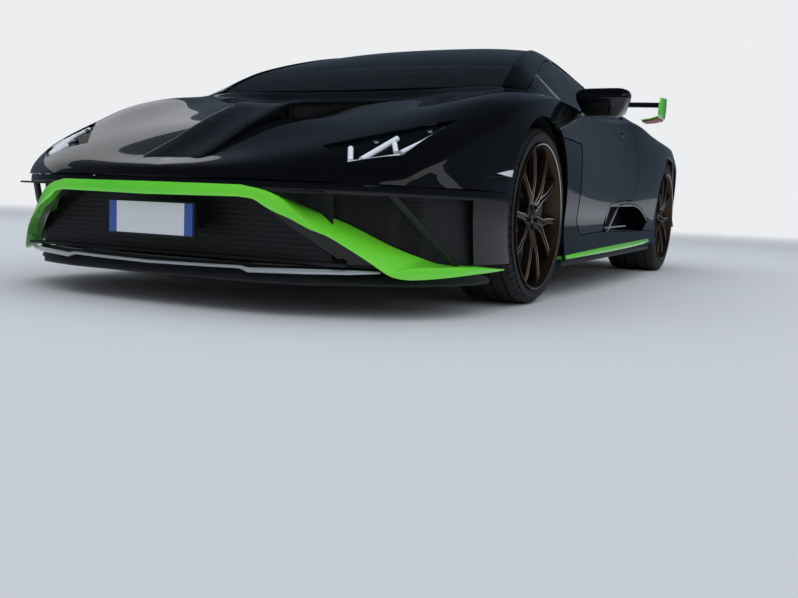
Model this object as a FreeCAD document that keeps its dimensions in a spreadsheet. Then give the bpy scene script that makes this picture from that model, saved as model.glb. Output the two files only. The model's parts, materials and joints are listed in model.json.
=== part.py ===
import FreeCAD, Part
import math
import os
import Sketcher
from FreeCAD import Placement, Rotation, Vector

# Mid-engined two-seat supercar. X points to the car's left, Y to its tail, Z up.
# The origin is on the ground, under the middle of the car. Sizes are in millimetres.

doc = FreeCAD.newDocument("Supercar")
sheet = doc.addObject("Spreadsheet::Sheet", "Sizes")

SIZES = {
    "overall_length": 4547,
    "half_width": 972.5,
    "wheelbase": 2620,
    "front_overhang": 1060,
    "roof_height": 1170,
    "tyre_radius_front": 327.5,
    "tyre_radius_rear": 345.5,
    "tyre_width_front": 245,
    "tyre_width_rear": 305,
    "rim_radius": 272,
    "rim_thickness": 12,
    "wheel_x_front": 828,
    "wheel_x_rear": 800,
    "arch_gap_front": 36,
    "arch_gap_rear": 27,
    "well_inner_front": 545,
    "well_inner_rear": 600,
    "skin": 16,
    "door_thickness": 85,
    "glass": 6,
    "roof_thickness": 34,
    "shut_gap": 8,
    "seat_gap": 0.3,
    "seam_height": 405,
    "door_front": -655,
    "door_rear": 575,
    "door_bottom": 250,
    "door_inner": 720,
    "floor_height": 125,
    "floor_thickness": 14,
    "sill_width": 150,
    "sill_height": 330,
    "cover_front": 690,
    "cover_rear": 1806,
    "cover_half_width": 500,
    "bulkhead_rear": 640,
    "bulkhead_front": -790,
    "bulkhead_thickness": 25,
    "tub_half_width": 780,
    "tunnel_width": 220,
    "tunnel_height": 330,
    "engine_length": 760,
    "engine_width": 640,
    "engine_height": 480,
    "engine_gap": 60,
    "gearbox_length": 460,
    "gearbox_width": 320,
    "rail_width": 80,
    "rail_height": 110,
    "rail_x": 430,
    "rail_z": 205,
    "rod_radius": 14,
    "kingpin_inset": 38,
    "ball_joint_reach": 148,
    "upright_thickness": 34,
    "spindle_radius": 22,
    "hub_radius": 46,
    "disc_radius": 190,
    "disc_thickness": 34,
    "spoke_count": 5,
    "spoke_width": 26,
    "spoke_thickness": 34,
    "wing_half_span": 770,
    "wing_height": 1150,
    "wing_chord": 250,
    "wing_thickness": 26,
    "endplate_thickness": 10,
    "strut_x": 330,
    "mirror_reach": 1112,
    "mirror_height": 130,
    "splitter_height": 118,
    "splitter_thickness": 22,
    "seat_x": 370,
    "seat_width": 490,
    "wheel_rim_radius": 178,
    "wheel_rim_thickness": 16,
    "tow_eye_radius": 8,
    "jack_pad_radius": 35,
    "jack_pad_height": 20,
}
for row, (alias, value) in enumerate(SIZES.items(), start=1):
    sheet.set(f"A{row}", alias)
    sheet.set(f"B{row}", str(value))
    sheet.setAlias(f"B{row}", alias)
doc.recompute()


def size(alias):
    return float(sheet.get(alias))


FRONT_AXLE = size("front_overhang") - size("overall_length") / 2
REAR_AXLE = FRONT_AXLE + size("wheelbase")
TAIL = size("overall_length") / 2


def station(anchor, offset):
    """Y of a station: after the front axle, a share of the wheelbase, or after the rear axle."""
    if anchor == "front":
        return FRONT_AXLE + offset
    if anchor == "mid":
        return FRONT_AXLE + size("wheelbase") * offset
    return REAR_AXLE + offset


# Body sections. Each has a centre height, then x inset from half_width and z of the valley between
# bonnet and wing, the wing's crown, the shoulder, the waist, the sill and the floor's edge.
#          anchor   offset  centre valley      crown       shoulder   waist      sill       floor
BODY = [
    ("front", -1060, 428, (412, 426), (192, 430), (72, 424), (30, 370), (25, 150), (75, 120)),
    ("front", -830, 486, (412, 484), (192, 502), (66, 468), (22, 410), (18, 150), (70, 120)),
    ("front", -500, 582, (410, 578), (178, 640), (52, 566), (14, 470), (14, 150), (70, 120)),
    ("front", -200, 668, (408, 664), (168, 752), (44, 706), (8, 600), (14, 150), (70, 120)),
    ("front", 0, 722, (402, 718), (166, 796), (46, 756), (6, 640), (14, 150), (70, 120)),
    ("front", 290, 792, (370, 790), (166, 816), (58, 778), (12, 640), (18, 150), (80, 120)),
    ("front", 560, 830, (320, 822), (166, 820), (82, 796), (34, 620), (22, 190), (80, 120)),
    ("mid", 0.500, 840, (280, 830), (152, 828), (90, 806), (56, 590), (26, 200), (80, 120)),
    ("mid", 0.685, 860, (260, 864), (132, 872), (66, 846), (40, 620), (20, 210), (80, 120)),
    ("mid", 0.830, 895, (300, 905), (112, 905), (36, 862), (8, 660), (14, 210), (80, 120)),
    ("rear", 0, 925, (350, 930), (112, 905), (28, 856), (0, 680), (14, 210), (80, 120)),
    ("rear", 400, 930, (370, 932), (132, 890), (46, 840), (16, 660), (24, 230), (90, 150)),
    ("rear", 860, 900, (380, 900), (180, 868), (92, 820), (66, 650), (70, 330), (130, 300)),
]
# Cabin sections. Each has a centre height under roof_height, then x and z under roof_height
# of the roof's edge, and x and z of the window's foot.
#         anchor  offset centre  mid         edge        foot
CABIN = [
    ("front", 262, 330, (330, 338), (590, 352), (700, 360)),
    ("front", 430, 264, (330, 272), (600, 300), (735, 352)),
    ("front", 830, 118, (320, 126), (575, 164), (800, 350)),
    ("front", 1190, 6, (300, 14), (535, 62), (815, 345)),
    ("mid", 0.585, 0, (300, 8), (525, 60), (820, 335)),
    ("mid", 0.700, 26, (300, 34), (525, 92), (830, 312)),
    ("mid", 0.830, 84, (290, 92), (520, 146), (800, 280)),
    ("rear", 0, 168, (280, 174), (470, 208), (660, 260)),
    ("rear", 420, 232, (260, 238), (420, 252), (560, 262)),
]


def wire(points):
    return Part.makePolygon([Vector(*p) for p in points] + [Vector(*points[0])])


def prism(points, axis, low, high):
    """A plane outline pushed from low to high along one axis."""
    place = {
        "x": lambda p: (low, p[0], p[1]),
        "y": lambda p: (p[0], low, p[1]),
        "z": lambda p: (p[0], p[1], low),
    }[axis]
    way = {"x": Vector(1, 0, 0), "y": Vector(0, 1, 0), "z": Vector(0, 0, 1)}[axis]
    return Part.Face(wire([place(p) for p in points])).extrude(way * (high - low))


def block(low, high):
    span = [b - a for a, b in zip(low, high)]
    return Part.makeBox(*span, Vector(*low))


def rod(start, end, radius):
    way = Vector(*end) - Vector(*start)
    return Part.makeCylinder(radius, way.Length, Vector(*start), way)


def across(shape):
    """The same shape on the car's other side."""
    return shape.mirror(Vector(0, 0, 0), Vector(1, 0, 0))


def both(shape):
    return [shape, across(shape)]


def inset(points, depth):
    """A closed outline moved inwards by depth, corner by corner."""
    count = len(points)
    area = sum(
        points[i][0] * points[(i + 1) % count][1] - points[(i + 1) % count][0] * points[i][1]
        for i in range(count)
    )
    turn = 1 if area > 0 else -1
    moved = []
    for i in range(count):
        before, here, after = points[i - 1], points[i], points[(i + 1) % count]
        ways = []
        for a, b in ((before, here), (here, after)):
            dx, dz = b[0] - a[0], b[1] - a[1]
            length = math.hypot(dx, dz)
            ways.append((-dz / length * turn, dx / length * turn))
        mid = (ways[0][0] + ways[1][0], ways[0][1] + ways[1][1])
        scale = depth * 2 / (mid[0] ** 2 + mid[1] ** 2)
        moved.append((here[0] + mid[0] * scale, here[1] + mid[1] * scale))
    return moved


def body_outline(row, depth):
    half = [(0, row[2])]
    half += [(size("half_width") - x, z) for x, z in row[3:]]
    points = half + [(-x, z) for x, z in reversed(half[1:])]
    return inset(points, depth) if depth else points


def cabin_outline(row, depth):
    roof = size("roof_height")
    half = [(0, roof - row[2])]
    half += [(x, roof - z) for x, z in row[3:]]
    foot = half[-1]
    half.append((foot[0], foot[1] - 150))
    points = half + [(-x, z) for x, z in reversed(half[1:])]
    return inset(points, depth) if depth else points


def shell(rows, outline, depth):
    """A ruled loft through the rows' outlines, all moved in by depth."""
    wires = []
    for row in rows:
        y = station(row[0], row[1])
        wires.append(wire([(x, y, z) for x, z in outline(row, depth)]))
    return Part.makeLoft(wires, True, True)


def nose_plan(depth):
    """The nose in plan: a flat front, rounded back to the wheels."""
    nose = -size("overall_length") / 2 + 6 + depth
    wide = size("half_width") + 60 - depth
    front = [(350, nose), (620, nose + 105), (820, nose + 285), (925, nose + 520), (wide - 60, nose + 700)]
    half = [(x - (depth if x > 350 else 0), y) for x, y in front]
    half.append((wide, nose + 6000))
    return half + [(-x, y) for x, y in reversed(half)]


def tail_plan(depth):
    """The tail in plan: a shallow curve across the car."""
    tail = TAIL - 40 - depth
    wide = size("half_width") + 60 - depth
    half = [(0, tail), (560, tail - 40), (820, tail - 130), (wide - 40, tail - 330)]
    half.append((wide, tail - 6000))
    half = list(reversed(half))
    return half + [(-x, y) for x, y in reversed(half[:-1])]


def limit(plan):
    return prism(plan, "z", 0, 1400)


ARCH_FRONT = size("tyre_radius_front") + size("arch_gap_front")
ARCH_REAR = size("tyre_radius_rear") + size("arch_gap_rear")
WELL_INNER = 545
OUTSIDE = size("half_width") + 200


def arch(y, z, radius, inner=WELL_INNER):
    return Part.makeCylinder(radius, OUTSIDE - inner, Vector(inner, y, z), Vector(1, 0, 0))


def keep(name, shape):
    """Stores one sub-part under its own label."""
    feature = doc.addObject("Part::Feature", name)
    feature.Label = name
    feature.Shape = shape
    PARTS.append(feature)
    return feature


def fused(shapes):
    shape = shapes[0]
    if len(shapes) > 1:
        shape = shape.multiFuse(shapes[1:]).removeSplitter()
    return shape


PARTS = []


def keep(name, shape):
    """Stores one sub-part under its own label."""
    feature = doc.addObject("Part::Feature", name)
    feature.Label = name
    feature.Shape = shape
    PARTS.append(feature)
    return shape


def keep_pair(name, shape):
    keep(f"{name}_left", shape)
    keep(f"{name}_right", across(shape))
    return shape


def fused(shapes):
    shape = shapes[0]
    if len(shapes) > 1:
        shape = shape.multiFuse(shapes[1:])
    return shape


def cut_all(shape, cutters):
    for cutter in cutters:
        shape = shape.cut(cutter)
    return shape


GAP = size("shut_gap") / 2
SKIN = size("skin")
outer = shell(BODY, body_outline, 0).common(limit(nose_plan(0))).common(limit(tail_plan(0)))
inner = shell(BODY, body_outline, SKIN).common(limit(nose_plan(SKIN))).common(limit(tail_plan(SKIN)))
body_skin = outer.cut(inner)
cabin_solid = shell(CABIN, cabin_outline, 0)
cabin_hollow = shell(CABIN, cabin_outline, size("roof_thickness"))
cabin_skin = cabin_solid.cut(cabin_hollow)
glass_skin = cabin_solid.cut(shell(CABIN, cabin_outline, size("glass")))

FRONT_WHEEL_Z = size("tyre_radius_front")
REAR_WHEEL_Z = size("tyre_radius_rear")
WELL_FRONT = size("well_inner_front")
WELL_REAR = size("well_inner_rear")
front_arches = both(arch(FRONT_AXLE, FRONT_WHEEL_Z, ARCH_FRONT, WELL_FRONT))
rear_arches = both(arch(REAR_AXLE, REAR_WHEEL_Z, ARCH_REAR, WELL_REAR))


def liner(y, z, radius, well, hollow):
    """The curved inner wall of a wheel arch, joined to the skin over it."""
    wall = 5
    outside = Part.makeCylinder(radius + wall, size("half_width") - well - 40, Vector(well, y, z), Vector(1, 0, 0))
    return outside.cut(arch(y, z, radius, well - 1)).common(hollow)


SCREEN_PLAN = [(0, -975), (420, -900), (590, -810), (560, -480), (488, -40), (0, -75)]
LID_EDGE = [(0, -975), (420, -900), (640, -800), (705, size("door_front") + GAP)]
LOW_REAR_TOP = 640


def clamshell():
    """Bonnet and front wings in one piece, hinged at the nose."""
    rear = [(x, y - 2 * GAP) for x, y in LID_EDGE]
    rear.append((1200, rear[-1][1]))
    plan = [(1200, -3000)] + list(reversed(rear))
    plan += [(-x, y) for x, y in reversed(plan[:-1])]
    lid = prism(plan, "z", size("seam_height") + GAP, 1400)
    liners = both(liner(FRONT_AXLE, FRONT_WHEEL_Z, ARCH_FRONT, WELL_FRONT, inner.common(lid)))
    shape = fused([body_skin.common(lid)] + liners)
    lamps = both(headlamp_prism(0))
    low_rear = block((-1200, FRONT_AXLE + 200, 0), (1200, 0, LOW_REAR_TOP))
    return cut_all(shape, front_arches + lamps + [low_rear])


LAMP_PLAN = [(505, -1960), (520, -2075), (560, -1990), (640, -1905), (795, -1660), (775, -1640)]


def headlamp_prism(gap):
    return prism(inset(LAMP_PLAN, gap), "z", size("seam_height") + 40, 1000)


def headlamps():
    deep = shell(BODY[:6], body_outline, 40)
    lens = outer.cut(deep).common(headlamp_prism(size("seat_gap")))
    return Part.makeCompound(both(lens))


keep("clamshell", clamshell())
keep("headlamps", headlamps())

# The blade's path: x, then y after the nose, height of its middle over the splitter, depth and height.
BLADE = [
    (955, 650, 8, 60, 16),
    (760, 285, 13, 90, 26),
    (690, 200, 57, 90, 40),
    (400, 38, 244, 50, 34),
    (347, 20, 258, 40, 24),
]
NOSE = -size("overall_length") / 2


def front_blade():
    """The bright bar under the nose, its two slanting arms and their flat feet."""
    path = BLADE + [(-x, y, z, deep, high) for x, y, z, deep, high in reversed(BLADE)]
    wires = []
    for x, y, z, deep, high in path:
        near, far = y + NOSE - deep / 2, y + NOSE + deep / 2
        low, top = z - high / 2 + size("splitter_height"), z + high / 2 + size("splitter_height")
        wires.append(wire([(x, near, low), (x, far, low), (x, far, top), (x, near, top)]))
    return Part.makeLoft(wires, True, True)


def front_bumper(blade):
    """The lower nose with its three air openings, between splitter and clamshell."""
    low = block((-1200, -3000, size("splitter_height")), (1200, FRONT_AXLE, size("seam_height") - 2 * GAP))
    shape = body_skin.common(low)
    middle = [(-330, 372), (330, 372), (640, 160), (-640, 160)]
    side = [(430, 372), (900, 372), (900, 170), (730, 170)]
    mouth = prism(middle, "y", -3000, -1700)
    ducts = prism(side, "y", -3000, -1750)
    shape = cut_all(shape, [mouth, ducts, across(ducts)] + front_arches + [blade])
    top = size("seam_height") + GAP - size("seat_gap")
    hinge = block((-240, NOSE + 7, size("seam_height") - 2 * GAP - 1), (-180, NOSE + 7 + SKIN, top))
    return fused([shape] + both(hinge))


def splitter():
    high = size("splitter_height")
    slab = prism(nose_plan(-6), "z", high - size("splitter_thickness"), high)
    return slab.common(block((-1200, -3000, 0), (1200, FRONT_AXLE - ARCH_FRONT - 10, high)))


blade = keep("front_blade", front_blade())
keep("front_bumper", front_bumper(blade))
keep("splitter", splitter())

DOOR_LOW = [(-655, 310), (-595, 250), (-170, 262), (-60, 400), (425, 430), (575, 560)]


def door_region(grow):
    """The door's side outline, moved outwards by grow."""
    points = [(size("door_front"), 1000)] + DOOR_LOW + [(size("door_rear"), 1000)]
    return prism(inset(points, -grow), "x", 0, 1200)


def door():
    solid = outer.cut(shell(BODY[5:10], body_outline, size("door_thickness")))
    front, rear = size("door_front") - 1, size("door_rear") - GAP
    plan = [(size("door_inner"), front), (1200, front), (1200, rear), (940, rear), (size("door_inner"), rear - 28)]
    return solid.common(door_region(-GAP)).common(prism(plan, "z", 0, 1000))


leaf = keep_pair("door", door())

WINDOW = [(-656, 850), (-20, 1088), (300, 1082), (560, 1030), (583, 868)]


def window_prism(grow, low=700):
    points = [(WINDOW[0][0], low)] + WINDOW + [(WINDOW[-1][0], low)]
    return prism(inset(points, -grow), "x", 400, 1200)


screen_half = SCREEN_PLAN + [(-x, y) for x, y in reversed(SCREEN_PLAN[1:-1])]
screen_prism = prism(screen_half, "z", 760, 1400)


def roof():
    """Roof skin with the pillars, open where the glass and the engine cover are."""
    side = window_prism(0)
    rear = block((-1200, size("cover_front"), 600), (1200, 3000, 1400))
    low = block((-1200, -1500, 0), (1200, 3000, 830))
    shape = cut_all(cabin_skin, [screen_prism, side, across(side), rear, low])
    edge = size("cover_front")
    hinge = block((-330, edge - 4, 1060), (-270, edge + 2 * GAP - size("seat_gap"), 1085))
    return fused([shape] + both(hinge))


roof_shape = keep("roof", roof())
keep("windscreen", glass_skin.common(screen_prism))
pane = glass_skin.common(window_prism(-2 * GAP, 780)).cut(leaf)
keep_pair("door_glass", pane)


def mirror():
    """A mirror housing on its stalk, standing on the door's shoulder."""
    y, z = -440, 806
    reach = size("mirror_reach")
    high = size("mirror_height")
    outline = [(890, z + 20), (reach - 60, z), (reach, z + high * 0.5), (reach - 12, z + high), (915, z + high - 12)]
    housing = prism(outline, "y", y - 70, y + 60)
    stalk = prism([(850, 760), (900, 740), (960, z + 20), (925, z + 24)], "y", y - 150, y - 40)
    return fused([housing, stalk]).cut(leaf)


keep_pair("mirror", mirror())

REAR_SPLIT = size("cover_rear")
QUARTER_LOW = 300
DECK = 852
INTAKE = [(-120, 268), (-45, 385), (560, 398), (890, 330), (720, 262)]


def side_skirt():
    """Rocker cover with the lower wing behind the front wheel and the door's hinge blocks."""
    front = FRONT_AXLE + ARCH_FRONT * 0.72
    rear = REAR_AXLE - ARCH_REAR * 0.9
    x = size("tub_half_width")
    low = block((x, front, 0), (1200, rear, size("door_bottom") - 2 * GAP))
    post = block((x + 20, front, 100), (1200, size("door_front") - GAP, LOW_REAR_TOP - 2 * GAP))
    shape = outer.common(fused([low, post]))
    shape = cut_all(shape, [front_arches[0], rear_arches[0]])
    seat = size("door_front") + GAP - size("seat_gap")
    hinges = [block((830, size("door_front") - GAP - 1, z), (880, seat, z + 60)) for z in (360, 540)]
    return fused([shape] + hinges)


skirt = keep_pair("side_skirt", side_skirt())


def engine_cover_plan(grow):
    half = size("cover_half_width") + grow
    front = size("cover_front") + (0 if grow > 0 else 2 * GAP)
    rear = size("cover_rear") + grow
    return prism([(-half, front), (half, front), (half - 60, rear), (-half + 60, rear)], "z", 600, 1400)


def rear_quarter():
    """Side panel behind the door, with the air intake and the buttress beside the engine cover."""
    side = block((300, -200, size("door_bottom") - 2 * GAP), (1200, REAR_SPLIT, 1000))
    panel = body_skin.common(side)
    buttress = cabin_skin.common(block((300, size("cover_front"), DECK), (1200, REAR_SPLIT, 1200)))
    walls = liner(REAR_AXLE, REAR_WHEEL_Z, ARCH_REAR, WELL_REAR, inner.common(side))
    shape = fused([panel, buttress, walls])
    front_top = block((0, -300, 600), (1200, size("door_rear") + GAP, 1200))
    inside = block((0, -300, 0), (700, size("bulkhead_rear"), 1200))
    floor_side = block((0, -300, 0), (840, 3000, 300))
    cutters = [door_region(GAP), engine_cover_plan(2 * GAP), rear_arches[0], prism(INTAKE, "x", 700, 1200)]
    return cut_all(shape, cutters + [front_top, inside, floor_side, roof_shape, skirt])


quarter = keep_pair("rear_quarter", rear_quarter())


def engine_cover():
    """The louvred lid over the engine with its raised air scoop."""
    shape = cabin_skin.common(engine_cover_plan(0)).cut(block((-1200, 0, 0), (1200, 3000, DECK)))
    slots = [block((-220, y, 900), (220, y + 48, 1200)) for y in (1120, 1260, 1400, 1540)]
    scoop_side = [(720, 1080), (760, 1168), (1010, 1130), (1060, 1040)]
    scoop = prism(scoop_side, "x", -210, 210)
    mouth = prism([(700, 1100), (700, 1152), (960, 1120), (960, 1096)], "x", -190, 190)
    scoop = scoop.cut(mouth).cut(cabin_hollow)
    return cut_all(fused([shape, scoop]), slots)


keep("engine_cover", engine_cover())

TAIL_LAMP = [(500, 760), (860, 800), (850, 700), (700, 705)]
GRILLE = [(-470, 470), (470, 470), (640, 600), (560, 735), (-560, 735), (-640, 600)]


def rear_bumper():
    """Tail panel with the grille opening and the lamp recesses."""
    area = block((-1200, REAR_SPLIT, QUARTER_LOW), (1200, 3000, 1000))
    shape = body_skin.common(area)
    grille = prism(GRILLE, "y", 2100, 3000)
    lamp = prism(TAIL_LAMP, "y", 2000, 3000)
    return cut_all(shape, [grille, lamp, across(lamp), rear_arches[0], rear_arches[1]])


tail = keep("rear_bumper", rear_bumper())
lamp_band = outer.cut(limit(tail_plan(26))).common(prism(inset(TAIL_LAMP, size("seat_gap")), "y", 2000, 3000))
keep("tail_lamps", Part.makeCompound(both(lamp_band)))


def rear_wing():
    """A blade across the tail with end plates, on two struts."""
    rear = TAIL
    front = rear - size("wing_chord")
    z = size("wing_height")
    thick = size("wing_thickness")
    foil = [(front, z), (front + 60, z + thick * 0.5), (rear, z + thick), (rear, z + thick - 4),
            (front + 110, z - thick * 0.5)]
    half = size("wing_half_span")
    blade_solid = prism(foil, "x", -half, half)
    plate = [(front - 10, z - 60), (front - 10, z + 46), (rear, z + 50), (rear, z - 40)]
    plates = both(prism(plate, "x", half, half + size("endplate_thickness")))
    foot = 860
    strut = [(front - 30, foot), (front + 60, z), (front + 170, z), (front + 110, foot)]
    struts = both(prism(strut, "x", size("strut_x"), size("strut_x") + 14))
    return fused([blade_solid] + plates + struts).cut(outer)


keep("rear_wing", rear_wing())

FLOOR = size("floor_height")
FLOOR_TOP = FLOOR + size("floor_thickness")


def tub():
    """Floor, sills, tunnel and two bulkheads, with the roof standing on the bulkheads."""
    half = size("tub_half_width")
    front, rear = size("bulkhead_front"), size("bulkhead_rear")
    wall = size("bulkhead_thickness")
    floor = block((-half, front, FLOOR), (half, rear, FLOOR_TOP))
    sill = block((half - size("sill_width"), front, FLOOR), (half, rear, size("sill_height")))
    tunnel = block((-size("tunnel_width") / 2, front, FLOOR), (size("tunnel_width") / 2, rear, size("tunnel_height")))
    pieces = [floor, tunnel] + both(sill)
    for low in (front, rear - wall):
        lower = block((-690, low, FLOOR), (690, low + wall, 740))
        upper = cabin_hollow.common(block((-620, low, 739), (620, low + wall, 1200)))
        pieces += [lower, upper]
    pads = []
    for y in (front + 110, rear - 160):
        pad = Part.makeCylinder(size("jack_pad_radius"), size("jack_pad_height") + 1,
                                Vector(half - 75, y, FLOOR - size("jack_pad_height")))
        pads += both(pad)
    window = block((-360, rear - wall - 1, 930), (360, rear + 1, 1040))
    return fused(pieces + pads).cut(window)


tub_shape = keep("tub", tub())


def rails(x, low, high, z):
    width, height = size("rail_width"), size("rail_height")
    return both(block((x - width / 2, low, z), (x + width / 2, high, z + height)))


RAIL_FRONT_END = -2060
RAIL_REAR_END = 2110
ENGINE_X = size("engine_width") / 2
REAR_RAIL_X = ENGINE_X + size("rail_width") / 2


def front_frame():
    """Two rails and the crash beam ahead of the cabin, with the towing eye's socket."""
    x, z = size("rail_x"), size("rail_z")
    beam = block((-500, RAIL_FRONT_END - 60, z), (500, RAIL_FRONT_END, z + size("rail_height")))
    shape = fused(rails(x, RAIL_FRONT_END, size("bulkhead_front"), z) + [beam])
    socket = Part.makeCylinder(size("tow_eye_radius"), 50, Vector(x, RAIL_FRONT_END - 61, z + 55), Vector(0, 1, 0))
    return shape.cut(socket)


def diffuser_body(depth):
    """The wedge from the tray's level up to the diffuser's top, depth below it."""
    start, end = REAR_AXLE + 200, TAIL - 130
    top = QUARTER_LOW - depth
    return prism([(start, FLOOR_TOP - depth), (end, top), (end, 0), (start, 0)], "x", -590, 590)


def rear_frame():
    """Two rails behind the cabin with a raised cross beam that carries the exhaust."""
    z = size("rail_z")
    width = size("rail_width")
    posts = both(block((REAR_RAIL_X - width / 2, RAIL_REAR_END - 60, z), (REAR_RAIL_X + width / 2, RAIL_REAR_END, 560)))
    beam = block((-REAR_RAIL_X, RAIL_REAR_END - 60, 500), (REAR_RAIL_X, RAIL_REAR_END, 560))
    shape = fused(rails(REAR_RAIL_X, size("bulkhead_rear"), RAIL_REAR_END, z) + posts + [beam])
    return shape.cut(diffuser_body(0))


front_rails = keep("front_frame", front_frame())
rear_rails = keep("rear_frame", rear_frame())


def luggage_tub():
    """Open tray between the front rails."""
    half = size("rail_x") - size("rail_width") / 2
    front, rear = -1840, size("bulkhead_front") - 120
    low, top = size("rail_z"), 470
    box = prism([(front, low), (rear, low), (rear, top), (front + 120, top), (front, low + 120)], "x", -half, half)
    wall = 6
    space = prism([(front + wall, low + wall), (rear - wall, low + wall), (rear - wall, top + 1),
                   (front + 120 + wall, top + 1), (front + wall, low + 116)], "x", -half + wall, half - wall)
    return box.cut(space)


keep("luggage_tub", luggage_tub())


def engine():
    """Engine and gearbox as plain heavy blocks between the rear rails."""
    front = size("bulkhead_rear") + size("engine_gap")
    rear = front + size("engine_length")
    low = size("rail_z") + 20
    motor = block((-ENGINE_X, front, low), (ENGINE_X, rear, low + size("engine_height")))
    half = size("gearbox_width") / 2
    box = block((-half, rear, low + 50), (half, rear + size("gearbox_length"), low + 320))
    return fused([motor, box])


keep("engine", engine())


def exhaust_pipes():
    """Silencer on the rear beam with two round tail pipes."""
    silencer = block((-240, RAIL_REAR_END - 60, 560), (240, RAIL_REAR_END, 680))
    pipes = []
    for x in (-95, 95):
        pipe = Part.makeCylinder(56, 100, Vector(x, RAIL_REAR_END, 622), Vector(0, 1, 0))
        bore = Part.makeCylinder(52, 101, Vector(x, RAIL_REAR_END + 2, 622), Vector(0, 1, 0))
        pipes.append(pipe.cut(bore))
    return fused([silencer] + pipes)


keep("exhaust_pipes", exhaust_pipes())


def underfloor():
    """Flat trays under the nose and the engine, and the rising diffuser with its fins."""
    thick = size("floor_thickness")
    front_tray = block((-540, FRONT_AXLE, FLOOR - thick), (540, size("bulkhead_front") + 30, FLOOR))
    rear_tray = block((-590, size("bulkhead_rear"), FLOOR), (590, REAR_AXLE + 200, FLOOR_TOP))
    start = REAR_AXLE + 200
    diffuser = diffuser_body(0).cut(diffuser_body(size("floor_thickness")))
    fin = [(start + 40, FLOOR), (TAIL - 130, FLOOR + 40), (TAIL - 130, QUARTER_LOW - 7), (start, FLOOR_TOP - 6)]
    fins = [prism(fin, "x", x - 5, x + 5) for x in (-450, -230, 230, 450)]
    return Part.makeCompound([front_tray, fused([rear_tray, diffuser] + fins)])


keep("underfloor", underfloor())


def dashboard():
    back = size("bulkhead_front") + size("bulkhead_thickness")
    side = [(back, 560), (back, 800), (back + 110, 815), (back + 300, 745), (back + 300, 640), (back + 200, 560)]
    return prism(side, "x", -620, 620)


dash = keep("dashboard", dashboard())


def steering_wheel():
    x, y, z = size("seat_x"), -330, 725
    tilt = math.radians(24)
    way = Vector(0, -math.cos(tilt), -math.sin(tilt))
    centre = Vector(x, y, z)
    hoop = Part.makeTorus(size("wheel_rim_radius"), size("wheel_rim_thickness"), centre, way)
    hub = Part.makeCylinder(50, 30, centre, way)
    column = Part.makeCylinder(28, 260, centre, way)
    spokes = block((x - size("wheel_rim_radius"), y - 14, z - 24), (x + size("wheel_rim_radius"), y + 8, z + 10))
    return fused([hoop, hub, column, spokes]).cut(dash)


keep("steering_wheel", steering_wheel())


def seat():
    """A bucket seat: one shell with a hollow for the occupant between its bolsters."""
    x, half = size("seat_x"), size("seat_width") / 2
    side = [(-250, FLOOR_TOP), (-270, 330), (-240, 360), (120, 300), (340, 860), (420, 900), (470, 860), (330, FLOOR_TOP)]
    body = prism(side, "x", x - half, x + half)
    hollow = [(-300, 320), (150, 240), (400, 920), (200, 1000), (-300, 1000)]
    return body.cut(prism(hollow, "x", x - half + 90, x + half - 90))


keep_pair("seat", seat())


def ball_joint(x, y, z, low):
    """A housing over or under the upright, bored for the upright's stud."""
    return Part.makeCylinder(26, 32, Vector(x, y, z if low else z - 32), Vector(0, 0, 1))


KINGPIN_X = size("wheel_x_front") - size("kingpin_inset")
STUD = 10


def front_suspension():
    """Upper and lower wishbones from the front rails to the ball joints."""
    pieces = []
    for sign in (-1, 1):
        z = FRONT_WHEEL_Z + sign * (size("ball_joint_reach") + 16 + 5)
        centre = Vector(KINGPIN_X, FRONT_AXLE, z)
        housing = Part.makeCylinder(26, 32, centre - Vector(0, 0, 16), Vector(0, 0, 1))
        for spread in (-120, 120):
            inboard = (size("rail_x"), FRONT_AXLE + spread, z if sign < 0 else z - 30)
            housing = housing.fuse(rod(inboard, (KINGPIN_X, FRONT_AXLE, z), size("rod_radius")))
        bore = Part.makeCylinder(STUD + size("seat_gap"), 60, centre - Vector(0, 0, 30), Vector(0, 0, 1))
        pieces.append(housing.cut(bore).cut(front_rails))
    tower = block((size("rail_x") - 40, FRONT_AXLE - 160, size("rail_z") + size("rail_height")),
                  (size("rail_x") + 40, FRONT_AXLE + 160, 500))
    pieces = [fused([tower, pieces[1]]), pieces[0]]
    return Part.makeCompound([piece for shape in pieces for piece in both(shape)])


keep("front_suspension", front_suspension())


def upright(x, y, z, studs):
    """A wheel carrier: plate, spindle and brake caliper."""
    thick = size("upright_thickness")
    reach = size("ball_joint_reach")
    plate = block((x - thick / 2, y - 50, z - reach), (x + thick / 2, y + 50, z + reach))
    spindle = Part.makeCylinder(size("spindle_radius"), 95, Vector(x, y, z), Vector(1, 0, 0))
    pieces = [plate, spindle]
    if studs:
        pieces.append(Part.makeCylinder(STUD, 2 * (reach + 30), Vector(x, y, z - reach - 30), Vector(0, 0, 1)))
    arm = block((x - thick / 2, y + 40, z - 60), (x + thick / 2, y + 215, z + 60))
    disc_x = x + thick / 2 + 30
    pieces.append(arm)
    pad = block((x, y + 120, z - 60), (disc_x + size("disc_thickness") + 22, y + 215, z + 60))
    slot = Part.makeCylinder(size("disc_radius") + 6, size("disc_thickness") + 12,
                             Vector(disc_x - 6, y, z), Vector(1, 0, 0))
    pieces.append(pad.cut(slot))
    return fused(pieces)


keep_pair("knuckle_front", upright(KINGPIN_X, FRONT_AXLE, FRONT_WHEEL_Z, True))
REAR_UPRIGHT_X = size("wheel_x_rear") - size("kingpin_inset")


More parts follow.
